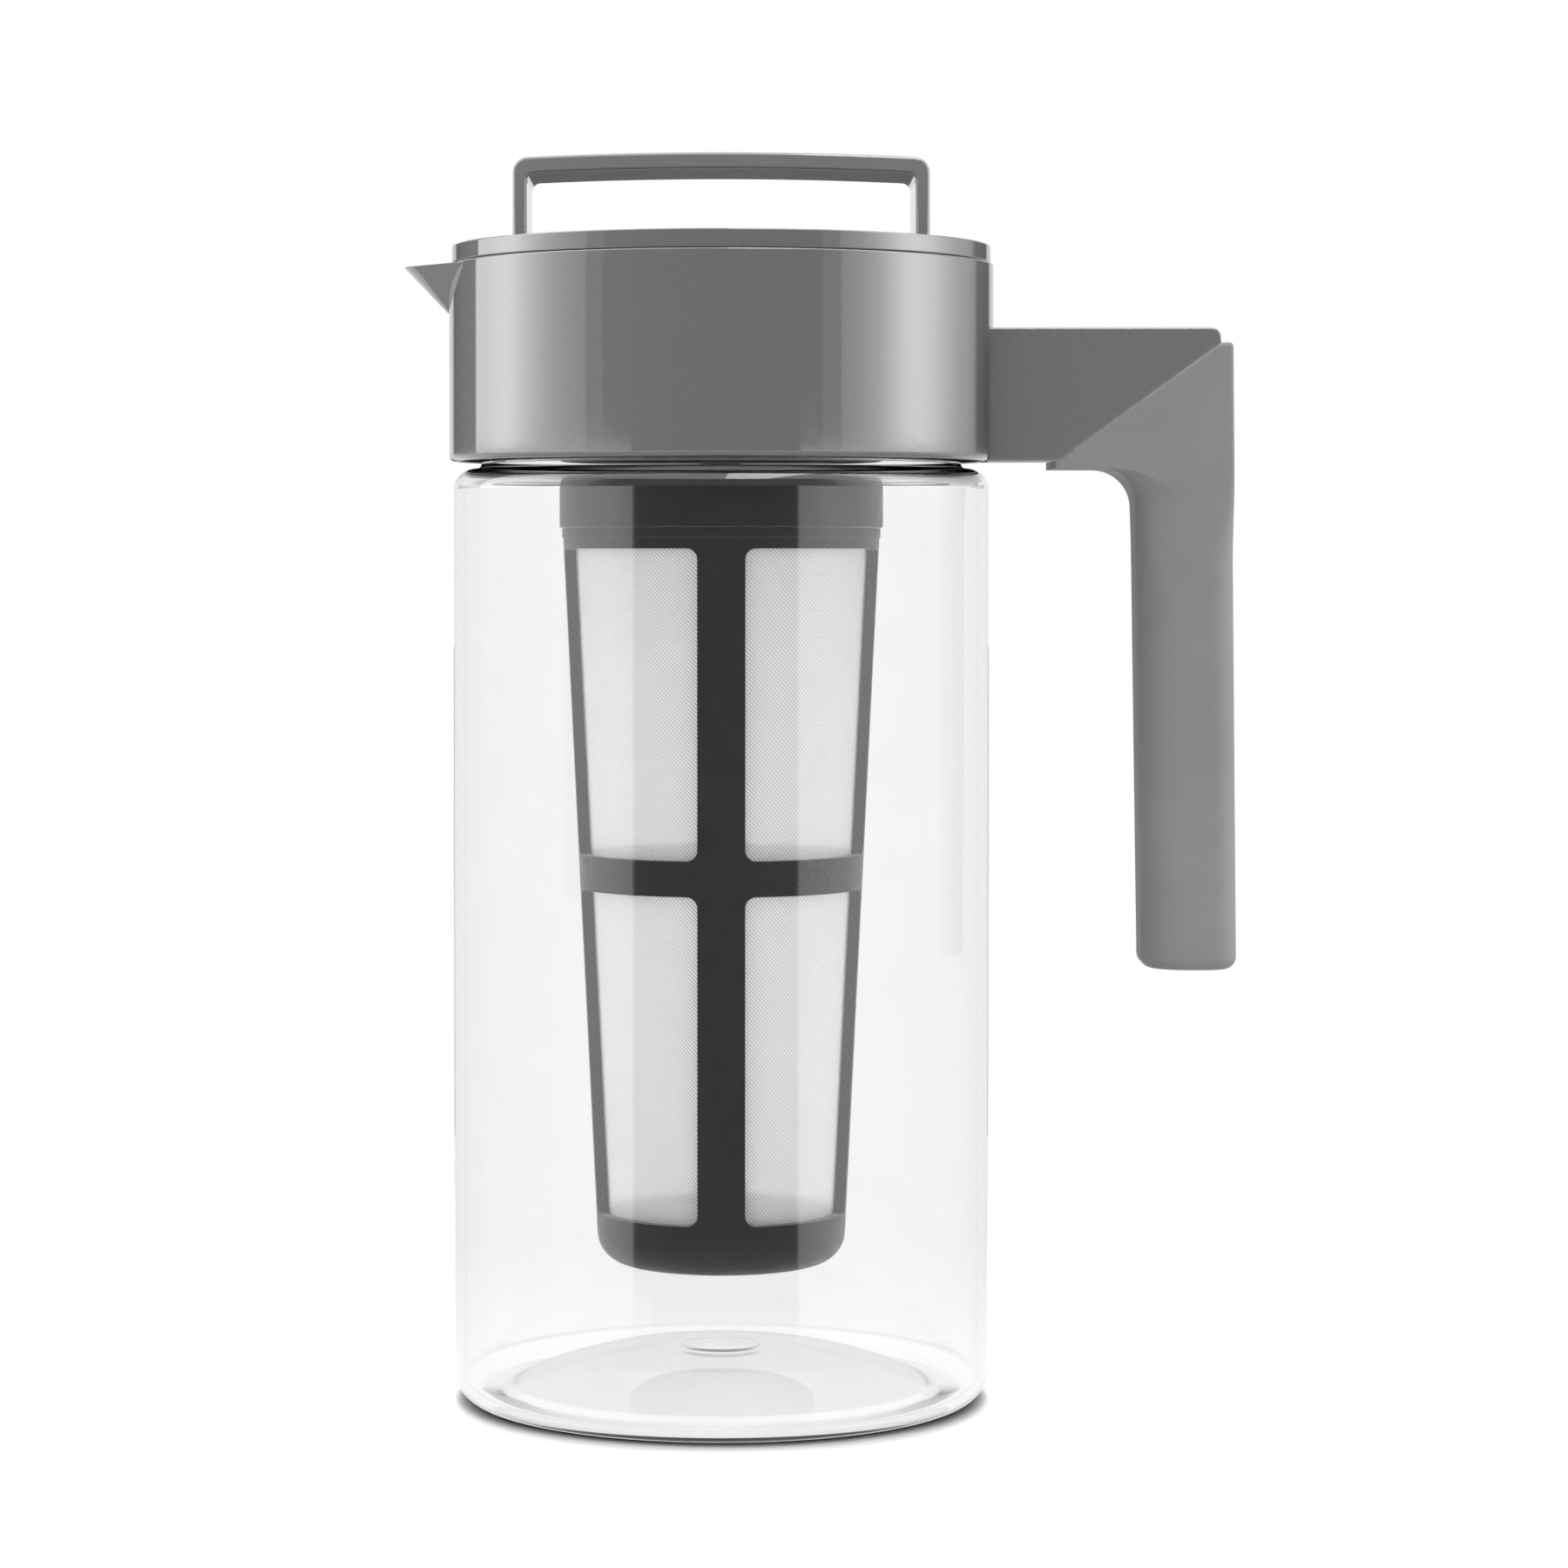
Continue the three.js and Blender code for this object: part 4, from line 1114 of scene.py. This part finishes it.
# A light ceiling overhead, with one bright window in it, in front and on the right.
ceiling_light = 3.5
window_light = 7
is_overhead = reckon("GREATER_THAN", slope, 0.75)
window_left = reckon("GREATER_THAN", across, reckon("MULTIPLY", rise, 0.04))
window_right = reckon("LESS_THAN", across, reckon("MULTIPLY", rise, 0.5))
window_front = reckon("LESS_THAN", along, reckon("MULTIPLY", rise, -0.1))
window = reckon("MULTIPLY", reckon("MULTIPLY", window_left, window_right), window_front)
overhead = reckon("MULTIPLY", is_overhead, ceiling_light)
overhead = reckon("ADD", overhead, reckon("MULTIPLY", reckon("MULTIPLY", window, is_overhead), window_light))
far_wall_light = 0.8
far_wall = reckon("MULTIPLY", reckon("GREATER_THAN", slope, 0.09), reckon("GREATER_THAN", spread, 60))
far_wall = reckon("MULTIPLY", far_wall, far_wall_light)

# Low behind the jar the backdrop's foot is dim, and below it lies the pale floor.
dim_foot = 0.17
downward = reckon("MULTIPLY", reckon("GREATER_THAN", slope, -0.13), reckon("LESS_THAN", slope, -0.02))
behind = reckon("GREATER_THAN", spread, 170)
inside_wall = reckon("GREATER_THAN", ray.outputs["Transmission Depth"], 0.5)
outside = reckon("SUBTRACT", 1, inside_wall)
sides = choose(reckon("MULTIPLY", downward, reckon("MULTIPLY", behind, outside)), dim_foot, sides)
floor_from = -0.155
floor_blend = 0.03
to_floor = reckon("DIVIDE", reckon("SUBTRACT", floor_from, slope), floor_blend)
to_floor = reckon("MINIMUM", reckon("MAXIMUM", to_floor, 0), 1)
floor_light = choose(reckon("LESS_THAN", slope, -0.6), 0.6, 1.3)
sides = choose(to_floor, floor_light, sides)
studio = reckon("MAXIMUM", sides, reckon("MAXIMUM", overhead, far_wall))

# What shows straight through the jar: a white backdrop with a faint veil at its middle.
veil_shift = 0.1235
turn_right = reckon("SUBTRACT", 1, reckon("MULTIPLY", on_right, 2))
from_middle = reckon("SUBTRACT", half_turn, spread)
sideways = reckon("ABSOLUTE", reckon("SUBTRACT", from_middle, reckon("MULTIPLY", turn_right, veil_shift)))
backdrop = curve_over(sideways, half_turn, 1, [
    (0, 0.97), (1.5, 0.97), (1.6, 0.93), (2.4, 0.94), (3.3, 0.92),
    (5.1, 0.93), (8.3, 0.96), (14, 0.98), (25, 1), (half_turn, 1),
])
floor_white = 1.1
backdrop = choose(to_floor, floor_white, backdrop)
bounces = reckon("ADD", ray.outputs["Glossy Depth"], ray.outputs["Diffuse Depth"])
first_sight = reckon("LESS_THAN", bounces, 0.5)

# What the jar's wall mirrors inside itself is softened, so that its edges stay thin and light.
mirror_dark = 0.25
mirror_light = 0.9
inside_white = 0.95
inside_view = reckon("MAXIMUM", reckon("MINIMUM", studio, mirror_light), mirror_dark)
inside_view = choose(reckon("GREATER_THAN", slope, 0.03), inside_white, inside_view)
inside_view = choose(to_floor, inside_white, inside_view)
sharp_view = choose(first_sight, backdrop, choose(inside_wall, inside_view, studio))
fill = choose(inside_wall, 1.9, 0.64)
lit = choose(reckon("GREATER_THAN", ray.outputs["Diffuse Depth"], 0.5), fill, sharp_view)
strength = choose(ray.outputs["Is Camera Ray"], 1, lit)
links.new(strength, nodes["Background"].inputs["Strength"])
nodes["Background"].inputs["Color"].default_value = (1, 1, 1, 1)


def soft_lamp(name, power, width, height, place, aim):
    """A soft rectangular lamp that isn't seen itself."""
    bpy.ops.object.select_all(action="DESELECT")
    bpy.ops.object.light_add(type="AREA", location=place)
    lamp = bpy.context.object
    lamp.name = name
    lamp.data.shape = "RECTANGLE"
    lamp.data.size = width
    lamp.data.size_y = height
    lamp.data.energy = power
    lamp.rotation_euler = (Vector(aim) - Vector(place)).to_track_quat("-Z", "Y").to_euler()
    lamp.visible_camera = False
    lamp.visible_glossy = False
    lamp.visible_transmission = False
    return lamp


middle = (axis_x, 0, 0.14)
soft_lamp("lamp_over", 10, 1.2, 1.2, (axis_x, -0.3, 1.5), middle)
soft_lamp("lamp_front", 8, 1.0, 1.0, (axis_x, -1.9, 0.7), middle)
soft_lamp("lamp_left", 9, 0.5, 1.0, (axis_x - 1.3, 0.1, 0.4), middle)
soft_lamp("lamp_right", 8, 0.5, 1.0, (axis_x + 1.3, 0.35, 0.4), middle)

camera_place = (axis_x, -1.0, 0.189)
camera_tilt = math.radians(88.6)
bpy.ops.object.camera_add(location=camera_place, rotation=(camera_tilt, 0, 0))
camera = bpy.context.object
camera.name = "camera"
camera.data.lens = 102.14
camera.data.sensor_width = 36
camera.data.shift_x = 0.04
camera.data.shift_y = -0.0751
bpy.context.scene.camera = camera
bpy.context.scene.view_settings.view_transform = "Standard"
